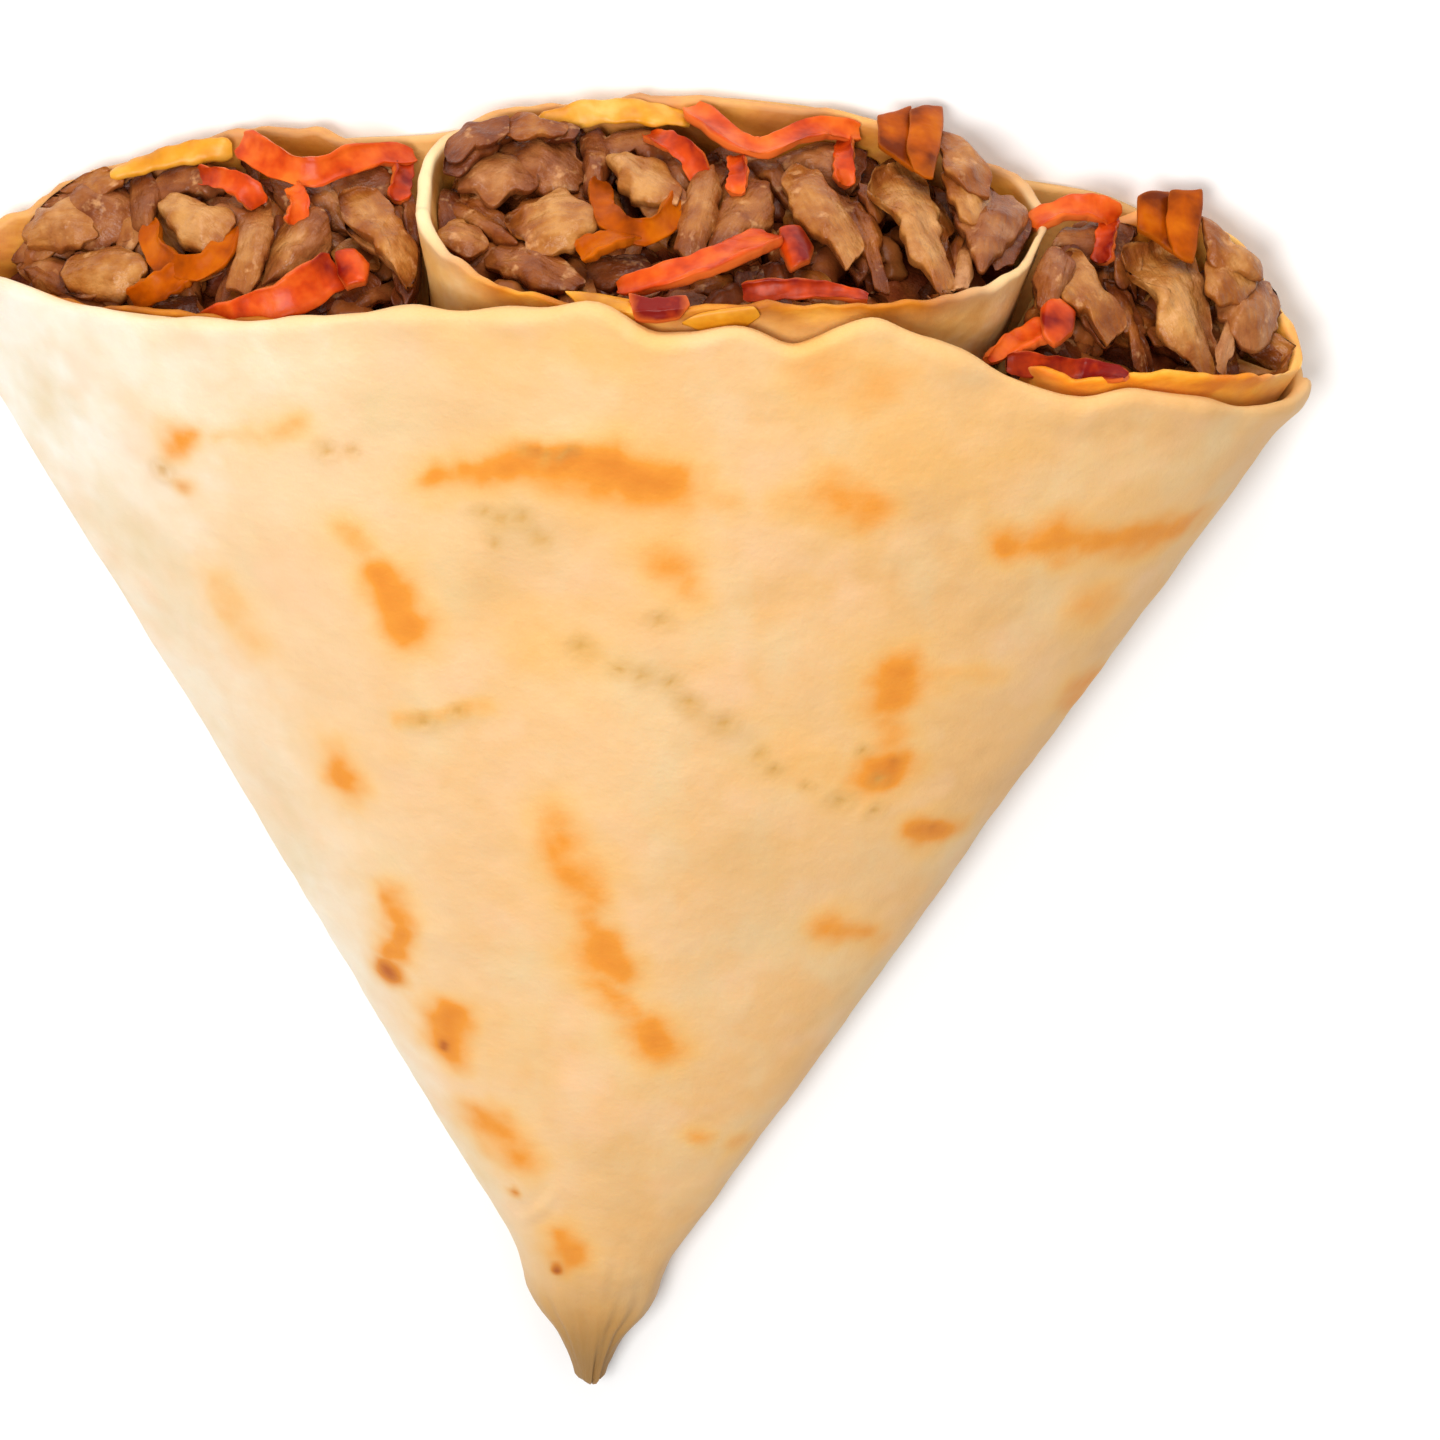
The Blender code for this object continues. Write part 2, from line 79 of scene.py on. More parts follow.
# %% Sizes of the cone, in millimetres and degrees
MM = 0.001
CREPE_RADIUS = 200.0
HALF_DEGREES = 29.6
HALF_ANGLE = math.radians(HALF_DEGREES)
CREPE_THICKNESS = 2.2
LINING_THICKNESS = 2.0
LAYER_GAP = 0.8
LINING_GAP = 0.5
TIP_HEIGHT = 7.0
TIP_PUFF = 3.4
TIP_PUFF_REACH = 38.0
TIP_CAP = 2.6
MOUTH_HEIGHT = [(-1.0, 11.0), (-0.8, 29.0), (-0.55, 41.0), (-0.3, 46.0), (0.08, 52.0),
                (0.45, 49.0), (0.75, 43.0), (0.92, 35.0), (1.0, 24.0)]
SLOPE_POWER = 0.95
TOP_ROUNDNESS = 2.4
FLAT_SHARE = 0.8

FRONT_LIP = [(-29.6, 196.0), (-26.0, 194.0), (-23.6, 190.0), (-19.4, 186.5), (-16.4, 185.0), (-8.2, 185.0),
             (-3.7, 185.5), (-1.3, 187.8), (1.2, 184.3), (2.8, 184.9), (4.8, 186.9), (7.3, 184.4),
             (9.9, 188.8), (12.5, 186.0), (15.9, 182.5), (19.6, 182.4), (21.6, 186.0), (26.7, 188.0),
             (29.6, 188.0)]
BACK_LIP = [(-29.6, 196.0), (-21.3, 198.5), (-12.2, 198.0), (-8.0, 197.0), (-3.0, 197.5), (2.0, 199.0),
            (9.0, 199.5), (14.0, 197.0), (19.6, 199.0), (29.6, 191.0)]
POCKETS = {
    "left": {"edges": (-29.6, -8.6), "leans": (0.0, 0.0),
             "front": [(0.0, 193.0), (0.4, 187.5), (1.0, 181.0)],
             "back": [(0.0, 199.5), (0.4, 201.5), (0.8, 200.5), (1.0, 193.0)]},
    "middle": {"edges": (-8.6, 16.5), "leans": (0.0, -1.2),
               "front": [(0.0, 187.5), (0.15, 185.8), (0.35, 185.2), (0.55, 188.0), (0.8, 189.8),
                         (1.0, 191.5)],
               "back": [(0.0, 198.0), (0.35, 200.3), (0.7, 200.8), (1.0, 198.5)]},
    "right": {"edges": (16.5, 29.6), "leans": (-1.2, 0.0),
              "front": [(0.0, 179.0), (0.5, 187.0), (1.0, 190.0)],
              "back": [(0.0, 193.0), (0.4, 202.0), (1.0, 195.0)]},
}
FRONT_ROUNDNESS = 2.9
BACK_ROUNDNESS = 4.2
FACE_RECESS = 4.0
FILLING_WALL = CREPE_THICKNESS + LAYER_GAP + LINING_THICKNESS + LINING_GAP
SWELL = {"left": 0.0, "middle": 0.0, "right": 7.0}
ACROSS_RADIUS = 190.0
print(len(POCKETS), "pockets in a fan of", 2.0 * HALF_DEGREES, "degrees")

# %% [markdown]
# ## Rules of the form
#
# Small functions turn a share across the fan, a distance from the tip and a height into a point. They take
# whole arrays, because a fine surface has tens of thousands of points and numpy works them out at once.

# %% Curves and layers
def curve_value(points, at):
    """Read a smooth curve through (position, value) points, for one number or an array."""
    xs = np.array([x for x, _ in points])
    ys = np.array([y for _, y in points])
    at = np.clip(np.asarray(at, dtype=float), xs[0], xs[-1])
    before = np.maximum(np.arange(len(xs)) - 1, 0)
    after = np.minimum(np.arange(len(xs)) + 1, len(xs) - 1)
    slopes = (ys[after] - ys[before]) / (xs[after] - xs[before])
    i = np.clip(np.searchsorted(xs, at, side="left") - 1, 0, len(xs) - 2)
    span = xs[i + 1] - xs[i]
    t = (at - xs[i]) / span
    value = ys[i] * (2 * t**3 - 3 * t**2 + 1) + slopes[i] * span * (t**3 - 2 * t**2 + t)
    return value + ys[i + 1] * (3 * t**2 - 2 * t**3) + slopes[i + 1] * span * (t**3 - t**2)


def signed_power(value, power):
    """Keep the sign of a value while raising its size to a power."""
    return np.sign(value) * np.abs(value) ** power


def half_width(reach):
    """Half the cone's width at a distance from the tip."""
    return reach * math.sin(HALF_ANGLE) + TIP_PUFF * np.exp(-(reach / TIP_PUFF_REACH) ** 2)


def layer_heights(across, reach, inset):
    """Lower and upper height of a closed layer that keeps a distance inside the cone's skin."""
    share = np.minimum(np.abs(across) / (1.0 - inset / half_width(reach)), 1.0)
    mouth = curve_value(MOUTH_HEIGHT, across)
    height = TIP_HEIGHT + (mouth - TIP_HEIGHT) * (np.maximum(reach, 0.0) / CREPE_RADIUS) ** SLOPE_POWER
    half = (height - 2.0 * inset) / 2.0
    crown = (1.0 - share**TOP_ROUNDNESS) ** (1.0 / TOP_ROUNDNESS)
    heel = np.maximum(0.0, (share - FLAT_SHARE) / (1.0 - FLAT_SHARE))
    lift = 1.0 - np.sqrt(np.maximum(0.0, 1.0 - heel**2))
    return inset + half * lift, inset + half * (1.0 + crown)


def fan_point(across, reach, height):
    """Place points by share across the fan, distance from the tip and height."""
    x = half_width(reach) * np.sin(HALF_ANGLE * across) / math.sin(HALF_ANGLE)
    y = reach * np.cos(HALF_ANGLE * across)
    return np.stack(np.broadcast_arrays(x, y, height), axis=-1)


# %% Pockets
def side_gap(edge):
    """Room beside a roll: for the large crepe at the edges of the fan, for the next roll elsewhere."""
    return CREPE_THICKNESS + LAYER_GAP if abs(edge) == HALF_DEGREES else LAYER_GAP / 2.0


def roll_section(turn, shrink=1.0):
    """Sideways and upward share of a roll's rounded section: squarer behind than in front."""
    power = 2.0 / np.where(np.sin(turn) > 0.0, FRONT_ROUNDNESS, BACK_ROUNDNESS)
    return signed_power(np.cos(turn), power) * shrink, signed_power(np.sin(turn), power) * shrink


def pocket_point(pocket, turn, reach, inset, shrink=1.0):
    """Points on a roll's wall, by their turn round its section and their distance from the tip."""
    side, rise = roll_section(turn, shrink)
    edges = []
    for angle, lean, sign in zip(POCKETS[pocket]["edges"], POCKETS[pocket]["leans"], (1.0, -1.0)):
        gap = side_gap(angle) + inset
        edges.append((angle + lean * rise) / HALF_DEGREES + sign * gap / half_width(reach))
    across = (edges[0] + edges[1]) / 2.0 + side * (edges[1] - edges[0]) / 2.0
    low, high = layer_heights(across, reach, CREPE_THICKNESS + LAYER_GAP)
    slack = np.maximum(high - low, 0.0)
    trim = np.minimum(inset, slack * 0.35)
    return fan_point(across, reach, (low + high) / 2.0 + rise * (slack / 2.0 - trim))


def pocket_lip(pocket, turn, shrink=1.0):
    """Distance from the tip to a roll's lip."""
    side, rise = roll_section(turn, shrink)
    front = curve_value(POCKETS[pocket]["front"], 0.5 + 0.5 * side)
    back = curve_value(POCKETS[pocket]["back"], 0.5 + 0.5 * side)
    return back + (front - back) * (0.5 + 0.5 * rise)


def pocket_span(pocket):
    """Width of a pocket in millimetres along its face."""
    left, right = POCKETS[pocket]["edges"]
    return math.radians(right - left) * ACROSS_RADIUS


def face_reach(pocket, angle, up):
    """Distance from the tip to the slanted face of a filling, with its swell."""
    left, right = POCKETS[pocket]["edges"]
    side = (angle - left) / (right - left)
    front = curve_value(POCKETS[pocket]["front"], side)
    back = curve_value(POCKETS[pocket]["back"], side)
    swell = SWELL[pocket] * np.clip(1.2 - side / 0.3, 0.0, 1.0)
    return back + (front - back) * up - FACE_RECESS + swell


def face_point(pocket, across_mm, up, out):
    """Place a point on or above the recessed face of a filling."""
    angle = POCKETS[pocket]["edges"][0] + math.degrees(across_mm / ACROSS_RADIUS)
    reach = face_reach(pocket, angle, up) + out
    low, high = layer_heights(angle / HALF_DEGREES, reach, FILLING_WALL)
    return fan_point(angle / HALF_DEGREES, reach, low + (high - low) * up)


print("the pockets are", [round(pocket_span(pocket)) for pocket in POCKETS], "mm wide")

# %% [markdown]
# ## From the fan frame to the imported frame
#
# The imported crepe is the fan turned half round, with its box standing on the origin. Its tip and its two
# corners fix where the fan's own origin lies.

# %% Place the fan
crepe_low, crepe_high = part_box("outer_crepe")
left_reach = (FRONT_LIP[0][1] + BACK_LIP[0][1]) / 2.0
right_reach = (FRONT_LIP[-1][1] + BACK_LIP[-1][1]) / 2.0
lopsided = float(half_width(right_reach) - half_width(left_reach)) / 2.0 * MM
FAN_X = (crepe_low.x + crepe_high.x) / 2.0 + lopsided
FAN_Y = crepe_high.y - TIP_CAP * MM
FAN_Z = crepe_low.z
print("the tip of the fan lies at", round(FAN_X, 4), round(FAN_Y, 4), round(FAN_Z, 4))


def to_frame(points):
    """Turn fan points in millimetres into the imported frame, in metres."""
    points = np.asarray(points, dtype=float) * MM
    return np.stack([FAN_X - points[..., 0], FAN_Y - points[..., 1], FAN_Z + points[..., 2]], axis=-1)


# %% [markdown]
# ## Camera, light and floor
#
# The photograph looks down on the shown panel from beyond the mouth, 25 degrees off the vertical and a
# little turned, through a long lens. Light comes softly from the upper left, a weaker lamp reaches into the
# mouth, and a white sky fills the rest. The floor is plain and nearly white.

# %% Camera
CAMERA_TILT = math.radians(25.0)
CAMERA_ROLL = math.radians(2.55)
CAMERA_PLACE = (15.19, 468.47, 778.59)
CAMERA_LENS = 150.0
CAMERA_SENSOR = 36.0


def turned(vector):
    """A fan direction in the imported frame."""
    return Vector((-vector[0], -vector[1], vector[2]))


view_line = Vector((0.0, -math.sin(CAMERA_TILT), -math.cos(CAMERA_TILT)))
level_up = Vector((0.0, math.cos(CAMERA_TILT), -math.sin(CAMERA_TILT)))
view_right = Vector((1.0, 0.0, 0.0)) * math.cos(CAMERA_ROLL) + level_up * math.sin(CAMERA_ROLL)
view_up = Vector((-1.0, 0.0, 0.0)) * math.sin(CAMERA_ROLL) + level_up * math.cos(CAMERA_ROLL)
camera_data = bpy.data.cameras.new("camera")
camera_data.lens = CAMERA_LENS
camera_data.sensor_width = CAMERA_SENSOR
camera = bpy.data.objects.new("camera", camera_data)
bpy.context.scene.collection.objects.link(camera)
turn_matrix = Matrix((turned(view_right), turned(view_up), turned(-view_line))).transposed()
camera.matrix_world = Matrix.Translation(to_frame(CAMERA_PLACE)) @ turn_matrix.to_4x4()
bpy.context.scene.camera = camera
bpy.context.scene.view_settings.view_transform = "Standard"
print("the lens is", CAMERA_LENS, "mm long")

# %% Lights
SKY_STRENGTH = 0.46


def area_light(name, place, aim, size, power, colour):
    """A soft square light at a fan point, aimed at another."""
    data = bpy.data.lights.new(name, "AREA")
    data.size = size
    data.energy = power
    data.color = colour
    lamp = bpy.data.objects.new(name, data)
    bpy.context.scene.collection.objects.link(lamp)
    start = Vector(to_frame(place))
    lamp.location = start
    lamp.rotation_euler = (Vector(to_frame(aim)) - start).to_track_quat("-Z", "Y").to_euler()


area_light("key", (-230.0, 300.0, 950.0), (0.0, 110.0, 20.0), size=0.4, power=7.2, colour=(1.0, 0.985, 0.97))
area_light("mouth", (20.0, 700.0, 240.0), (10.0, 190.0, 25.0), size=0.3, power=1.8, colour=(1.0, 0.97, 0.93))
sky = bpy.data.worlds.new("studio")
sky.use_nodes = True
sky_inputs = sky.node_tree.nodes["Background"].inputs
sky_inputs["Color"].default_value = (1.0, 1.0, 1.0, 1.0)
sky_inputs["Strength"].default_value = SKY_STRENGTH
bpy.context.scene.world = sky
print("two soft lamps and a white sky of strength", SKY_STRENGTH)

# %% [markdown]
# ## Helpers for meshes and materials
#
# A fine surface is a stack of rings joined by quads. Noise on a lattice gives dough and meat their
# unevenness; it is worked out from a seed and the point itself, so it is the same on every run. Colours are
# written as the eye sees them, from 0 to 255, and turned to linear light.

# %% Mesh helpers
def lattice_noise(points, size, seed):
    """Smooth noise from -1 to 1 at points, with bumps about as wide as size."""
    place = np.asarray(points, dtype=float) / size + 100.0
    cell = np.floor(place)
    share = place - cell
    share = share * share * (3.0 - 2.0 * share)
    total = np.zeros(place.shape[:-1])
    for corner in range(8):
        step = np.array([corner & 1, (corner >> 1) & 1, (corner >> 2) & 1], dtype=float)
        at = cell + step
        wave = at[..., 0] * 127.1 + at[..., 1] * 311.7 + at[..., 2] * 74.7 + seed * 19.19
        value = np.sin(wave) * 43758.5453
        weight = np.prod(np.where(step == 1.0, share, 1.0 - share), axis=-1)
        total += (value - np.floor(value)) * weight
    return total * 2.0 - 1.0


def lofted(rings, start, end):
    """Vertices and faces of rings joined in order, with a fan at each end; returns points and faces."""
    count = rings[0].shape[0]
    points = np.concatenate(rings + [np.asarray([start]), np.asarray([end])])
    here = np.arange(count)
    after = (here + 1) % count
    faces = []
    for k in range(len(rings) - 1):
        low = k * count
        high = low + count
        faces.append(np.stack([low + here, low + after, high + after, high + here], axis=1))
    first = len(rings) * count
    top = (len(rings) - 1) * count
    quads = np.concatenate(faces).tolist()
    caps = np.stack([np.full(count, first), after, here], axis=1).tolist()
    caps += np.stack([np.full(count, first + 1), top + here, top + after], axis=1).tolist()
    return points, facing_out(points, quads + caps)


def facing_out(points, faces):
    """The faces of one closed surface, turned so that they look outward."""
    triangles = [(face[0], face[k], face[k + 1]) for face in faces for k in range(1, len(face) - 1)]
    corner = np.asarray(points)[np.array(triangles)]
    volume = np.einsum("ij,ij->", corner[:, 0], np.cross(corner[:, 1], corner[:, 2]))
    return faces if volume > 0.0 else [list(reversed(face)) for face in faces]


def dress(piece, slot, *solids):
    """Tie a finished piece to the frame and hide the solids that it stands for; its colour slot is not used.
    """
    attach(piece, "root")
    if solids:
        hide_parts(*solids)


def make_piece(name, points, faces, finish, attributes=None):
    """A smooth mesh object from frame points, with float attributes on its points."""
    mesh = bpy.data.meshes.new(name)
    mesh.from_pydata(np.asarray(points).tolist(), [], faces)
    for label, values in (attributes or {}).items():
        layer = mesh.attributes.new(label, "FLOAT", "POINT")
        layer.data.foreach_set("value", np.asarray(values, dtype=np.float32))
    mesh.materials.append(finish)
    mesh.shade_smooth()
    mesh.update()
    piece = bpy.data.objects.new(name, mesh)
    bpy.context.scene.collection.objects.link(piece)
    return piece


def point_normals(points, faces):
    """Outward normals of a surface's points, read from a throwaway mesh."""
    mesh = bpy.data.meshes.new("normals")
    mesh.from_pydata(np.asarray(points).tolist(), [], faces)
    mesh.update()
    normals = np.zeros(len(points) * 3, dtype=np.float32)
    mesh.vertex_normals.foreach_get("vector", normals)
    bpy.data.meshes.remove(mesh)
    return normals.reshape(-1, 3)


# %% Material helpers
NOISE_ROUGHNESS = 0.55
GLOW_RADIUS = (1.0, 0.55, 0.3)


def light(red, green, blue):
    """A colour as the eye sees it, 0 to 255, as linear light."""
    channels = []
    for value in (red, green, blue):
        share = value / 255.0
        channels.append(share / 12.92 if share <= 0.04045 else ((share + 0.055) / 1.055) ** 2.4)
    return (*channels, 1.0)


def add_node(tree, kind, inputs=None, **settings):
    """Add a node, set its properties and fill its inputs with values or links."""
    node = tree.nodes.new(kind)
    for label, value in settings.items():
        setattr(node, label, value)
    for label, value in (inputs or {}).items():
        if isinstance(value, bpy.types.NodeSocket):
            tree.links.new(value, node.inputs[label])
        else:
            node.inputs[label].default_value = value
    return node


def read_attribute(tree, label):
    """The value of a point attribute in a material."""
    return add_node(tree, "ShaderNodeAttribute", attribute_name=label).outputs["Fac"]


def noise(tree, scale, detail=3.0, stretch=None):
    """Noise on object coordinates, optionally stretched."""
    place = add_node(tree, "ShaderNodeTexCoord").outputs["Object"]
    if stretch:
        place = add_node(tree, "ShaderNodeMapping", {"Vector": place, "Scale": stretch}).outputs["Vector"]
    wanted = {"Vector": place, "Scale": scale, "Detail": detail, "Roughness": NOISE_ROUGHNESS}
    return add_node(tree, "ShaderNodeTexNoise", wanted).outputs["Fac"]


def ramp(tree, value, stops):
    """A colour ramp from (position, colour) stops."""
    node = add_node(tree, "ShaderNodeValToRGB", {"Fac": value})
    elements = node.color_ramp.elements
    while len(elements) < len(stops):
        elements.new(0.5)
    for element, (position, colour) in zip(elements, stops):
        element.position = position
        element.color = colour
    return node.outputs["Color"]


def tones(tree, value, *stops):
    """A colour ramp from stops of a position and a colour as the eye sees it."""
    return ramp(tree, value, [(stop[0], light(*stop[1:])) for stop in stops])


def mask(tree, value, *stops):
    """A grey ramp from stops of a position and a share."""
    return ramp(tree, value, [(position, (share, share, share, 1.0)) for position, share in stops])


def blend(tree, share, first, second):
    """Mix two colours by a share."""
    return add_node(tree, "ShaderNodeMix", {0: share, 6: first, 7: second}, data_type="RGBA").outputs[2]


def maths(tree, operation, first, second=0.0, clamp=False):
    """One sum on numbers."""
    node = add_node(tree, "ShaderNodeMath", {0: first, 1: second}, operation=operation, use_clamp=clamp)
    return node.outputs[0]


def centred(tree, value, gain):
    """A value from 0 to 1, moved to lie round 0 and scaled."""
    return maths(tree, "MULTIPLY", maths(tree, "SUBTRACT", value, 0.5), gain)


def finish_material(finish, colour, roughness, bump=None, bump_mm=0.1, soft=0.0, soft_mm=1.5, gloss=0.5):
    """A food surface: colour from nodes, roughness and gloss, bump, and a little light inside."""
    tree = finish.node_tree
    shader = tree.nodes["Principled BSDF"]
    tree.links.new(colour, shader.inputs["Base Color"])
    shader.inputs["Roughness"].default_value = roughness
    shader.inputs["Specular IOR Level"].default_value = gloss
    if soft:
        shader.inputs["Subsurface Weight"].default_value = soft
        shader.inputs["Subsurface Radius"].default_value = GLOW_RADIUS
        shader.inputs["Subsurface Scale"].default_value = soft_mm * MM
    if bump is not None:
        wanted = {"Height": bump, "Strength": 1.0, "Distance": bump_mm * MM}
        tree.links.new(add_node(tree, "ShaderNodeBump", wanted).outputs["Normal"], shader.inputs["Normal"])
    return finish


def new_material(name):
    """An empty node material."""
    finish = bpy.data.materials.new(name)
    finish.use_nodes = True
    return finish


# %% Floor
FLOOR_HALF = 3.0
FLOOR_DROP = 0.0002

floor_finish = new_material("floor_white")
tree = floor_finish.node_tree
finish_material(floor_finish, tones(tree, noise(tree, 3.0), (0.0, 250, 250, 250), (1.0, 252, 252, 252)), 0.9,
                gloss=0.1)
floor_points = [(x * FLOOR_HALF, y * FLOOR_HALF, FAN_Z - FLOOR_DROP)
                for x, y in ((-1, -1), (1, -1), (1, 1), (-1, 1))]
floor = make_piece("floor", floor_points, [(0, 1, 2, 3)], floor_finish)
print("the floor is", 2.0 * FLOOR_HALF, "m wide")

# %% [markdown]
# ## Toast marks
#
# The pan leaves orange-brown marks where the dough touches hot iron, a few dots nearly burnt, rows of
# pinholes where bubbles burst, and dull smudges. All are given in degrees across the fan and millimetres
# from the tip: a mark is a stroke with a half width and a strength. They become point attributes of the
# fine mesh, so they follow the surface. The hidden back gets marks of the same kind from a seed.

# %% Marks of the shown panel
TOAST_STROKES = [
    # half width, strength, path
    (2.8, 0.50, [(-21.2, 167), (-20.6, 168)]),
    (2.2, 0.30, [(-18.4, 167), (-16.6, 167)]),
    (2.6, 0.40, [(-15.4, 168), (-14.6, 168)]),
    (2.9, 0.55, [(-8.8, 158.2), (-7.2, 159.6), (-5.6, 160.6)]),
    (3.8, 0.66, [(-5.8, 160.6), (-2.7, 162), (-0.6, 161.8)]),
    (4.8, 0.64, [(-0.4, 160.5), (1.2, 160), (2.4, 159)]),
    (3.0, 0.34, [(2.4, 159), (5.5, 158)]),
    (3.0, 0.42, [(-13.7, 152), (-13.2, 148)]),
    (3.8, 0.60, [(-12.5, 144), (-12.0, 140), (-11.6, 136)]),
    (3.6, 0.32, [(-22.4, 143), (-21.8, 133)]),
    (4.3, 0.50, [(2.4, 148.5), (3.2, 146.5)]),
    (3.8, 0.42, [(3.8, 145), (4.4, 142.5)]),
    (6.2, 0.50, [(10.6, 162), (11.4, 161)]),
    (5.0, 0.32, [(8.2, 160), (9.4, 159.5)]),
    (4.0, 0.58, [(19.8, 160), (22.0, 161)]),
    (3.7, 0.54, [(22.0, 161.5), (25.0, 164), (27.4, 167)]),
    (4.0, 0.46, [(25.6, 153), (25.8, 151)]),
    (3.4, 0.50, [(28.7, 138), (28.9, 135)]),
    (5.2, 0.64, [(17.3, 134), (17.6, 131)]),
    (2.6, 0.34, [(18.0, 135), (22.8, 138)]),
    (3.6, 0.44, [(17.6, 128), (18.6, 124)]),
    (4.5, 0.72, [(18.2, 119), (19.0, 119)]),
    (3.0, 0.64, [(23.9, 109), (25.1, 109)]),
    (3.7, 0.54, [(20.8, 90), (23.4, 89.5)]),
    (3.0, 0.32, [(23.8, 89.5), (26.4, 89)]),
    (4.4, 0.50, [(-3.8, 103), (-2.9, 98)]),
    (4.2, 0.52, [(-2.4, 95), (-1.8, 90)]),
    (3.8, 0.50, [(-1.9, 87), (-1.3, 83)]),
    (4.4, 0.60, [(-0.6, 80), (1.4, 78)]),
    (2.4, 0.50, [(-0.8, 75), (0.8, 72)]),
    (2.4, 0.50, [(1.6, 71.5), (4.4, 69)]),
    (3.8, 0.60, [(5.8, 68), (7.4, 65)]),
    (3.2, 0.54, [(-19.3, 115), (-19.0, 109)]),
    (3.2, 0.52, [(-18.9, 90), (-19.6, 85)]),
    (3.0, 0.62, [(-20.2, 83), (-21.2, 79)]),
    (3.8, 0.64, [(-19.2, 68), (-20.0, 62)]),
    (4.1, 0.54, [(-17.2, 48), (-16.2, 43)]),
    (3.2, 0.56, [(-9.6, 27), (-8.8, 23)]),
    (2.0, 0.44, [(17.8, 47.6), (18.4, 47.6)]),
    (2.0, 0.40, [(24.2, 48.6), (25.0, 48.6)]),
    (1.4, 0.36, [(-14.0, 120), (-7.4, 122)]),
    (5.5, 0.30, [(-4.6, 134), (-2.2, 131)]),
    (6.0, 0.30, [(13.8, 117), (11.6, 119)]),
    (7.0, 0.44, [(10.6, 179), (8.6, 180)]),
    (6.0, 0.26, [(0.8, 181), (-1.0, 181)]),
    (6.0, 0.20, [(-5.0, 181), (-7.0, 180)]),
    (5.0, 0.16, [(-14.0, 60), (-10.0, 66)]),
    (7.0, 0.30, [(-6.0, 10), (6.0, 10)]),
    (9.0, 0.24, [(13.0, 172), (18.0, 171)]),
    (8.0, 0.15, [(21.0, 174), (26.0, 172)]),
]
CHAR_DOTS = [
    # radius, strength, place
    (1.3, 0.15, (-21.5, 160)), (1.9, 0.6, (-23.4, 76)), (0.8, 0.95, (-20.8, 63)), (0.75, 0.95, (-14.2, 21)),
    (0.9, 0.4, (19.2, 120)), (0.8, 0.3, (24.6, 110)),
    (0.8, 0.3, (-19.9, 35)), (0.8, 0.35, (-4.0, 163.4)), (0.8, 0.35, (-2.0, 163.6)),
]
PINHOLE_ROWS = [
    # spacing, path
    (4.6, [(-1.8, 132), (0.5, 129), (3.8, 128), (5.4, 125), (7.6, 122), (10.2, 118), (11.8, 116),
           (16.9, 112), (22.3, 111)]),
    (2.9, [(-6.8, 154), (-6.0, 152), (-6.4, 149), (-5.0, 147)]),
    (3.2, [(-4.6, 153), (-3.8, 149), (-3.4, 146)]),
    (2.6, [(-4.6, 163), (-3.4, 162), (-2.1, 164), (-1.6, 163)]),
    (3.0, [(-13.6, 164), (-11.7, 164)]),
    (3.6, [(-12.1, 120), (-9.6, 121), (-7.4, 122)]),
    (3.6, [(17.0, 121), (18.6, 117), (20.6, 118)]),
    (3.0, [(-22.2, 163), (-21.8, 162.6)]),
    (3.0, [(2.6, 138), (3.0, 138)]),
]
SMUDGES = [
    # half width, strength, path
    (4.5, 0.55, [(-6.0, 154), (-4.2, 150)]),
    (5.0, 0.45, [(-5.2, 147), (-7.6, 142)]),
    (2.6, 0.50, [(-1.8, 132), (3.8, 128), (7.6, 122), (11.8, 116)]),
    (2.4, 0.40, [(-13.0, 119.5), (-7.4, 122)]),
    (8.0, 0.30, [(12.0, 100), (16.0, 92)]),
    (9.0, 0.15, [(20.0, 150), (24.0, 146)]),
    (7.0, 0.30, [(-11.0, 170), (-7.0, 168)]),
    (6.0, 0.30, [(6.0, 36), (2.0, 42)]),
]


def panel_place(angle, reach):
    """Flat panel coordinates of fan positions, in millimetres."""
    angle = np.radians(np.asarray(angle, dtype=float))
    return np.stack([reach * np.sin(angle), reach * np.cos(angle)], axis=-1)


def segment_gap(places, start, end):
    """Distance of panel places from a straight piece of a path."""
    run = end - start
    share = np.clip(((places - start) @ run) / max(run @ run, 1e-9), 0.0, 1.0)
    return np.linalg.norm(places - (start + share[:, None] * run), axis=1)


def blob_value(places, spot, radius):
    """How strongly a soft round mark covers panel places."""
    gap = np.linalg.norm(places - spot, axis=1) / radius
    return np.exp(-(gap**1.8) * 1.1)


def stroke_value(places, path, half, rng):
    """A blotchy stroke: a soft band along a path, with marks of uneven size strung along it."""
    band = np.zeros(len(places))
    spots = np.zeros(len(places))
    corners = [panel_place(angle, reach) for angle, reach in path]
    for start, end in zip(corners, corners[1:]):
        gap = segment_gap(places, start, end) / half
        band = np.maximum(band, np.exp(-(gap**2.0) * 1.3))
        steps = max(1, round(float(np.linalg.norm(end - start)) / (half * 0.6)))
        for k in range(steps + 1):
            spot = start + (end - start) * (k / steps)
            spot = spot + half * np.array([rng.uniform(-0.3, 0.3), rng.uniform(-0.3, 0.3)])
            radius = half * rng.uniform(0.7, 1.25)
            spots = np.maximum(spots, rng.uniform(0.7, 1.0) * blob_value(places, spot, radius))
    return 0.4 * band + 0.6 * spots


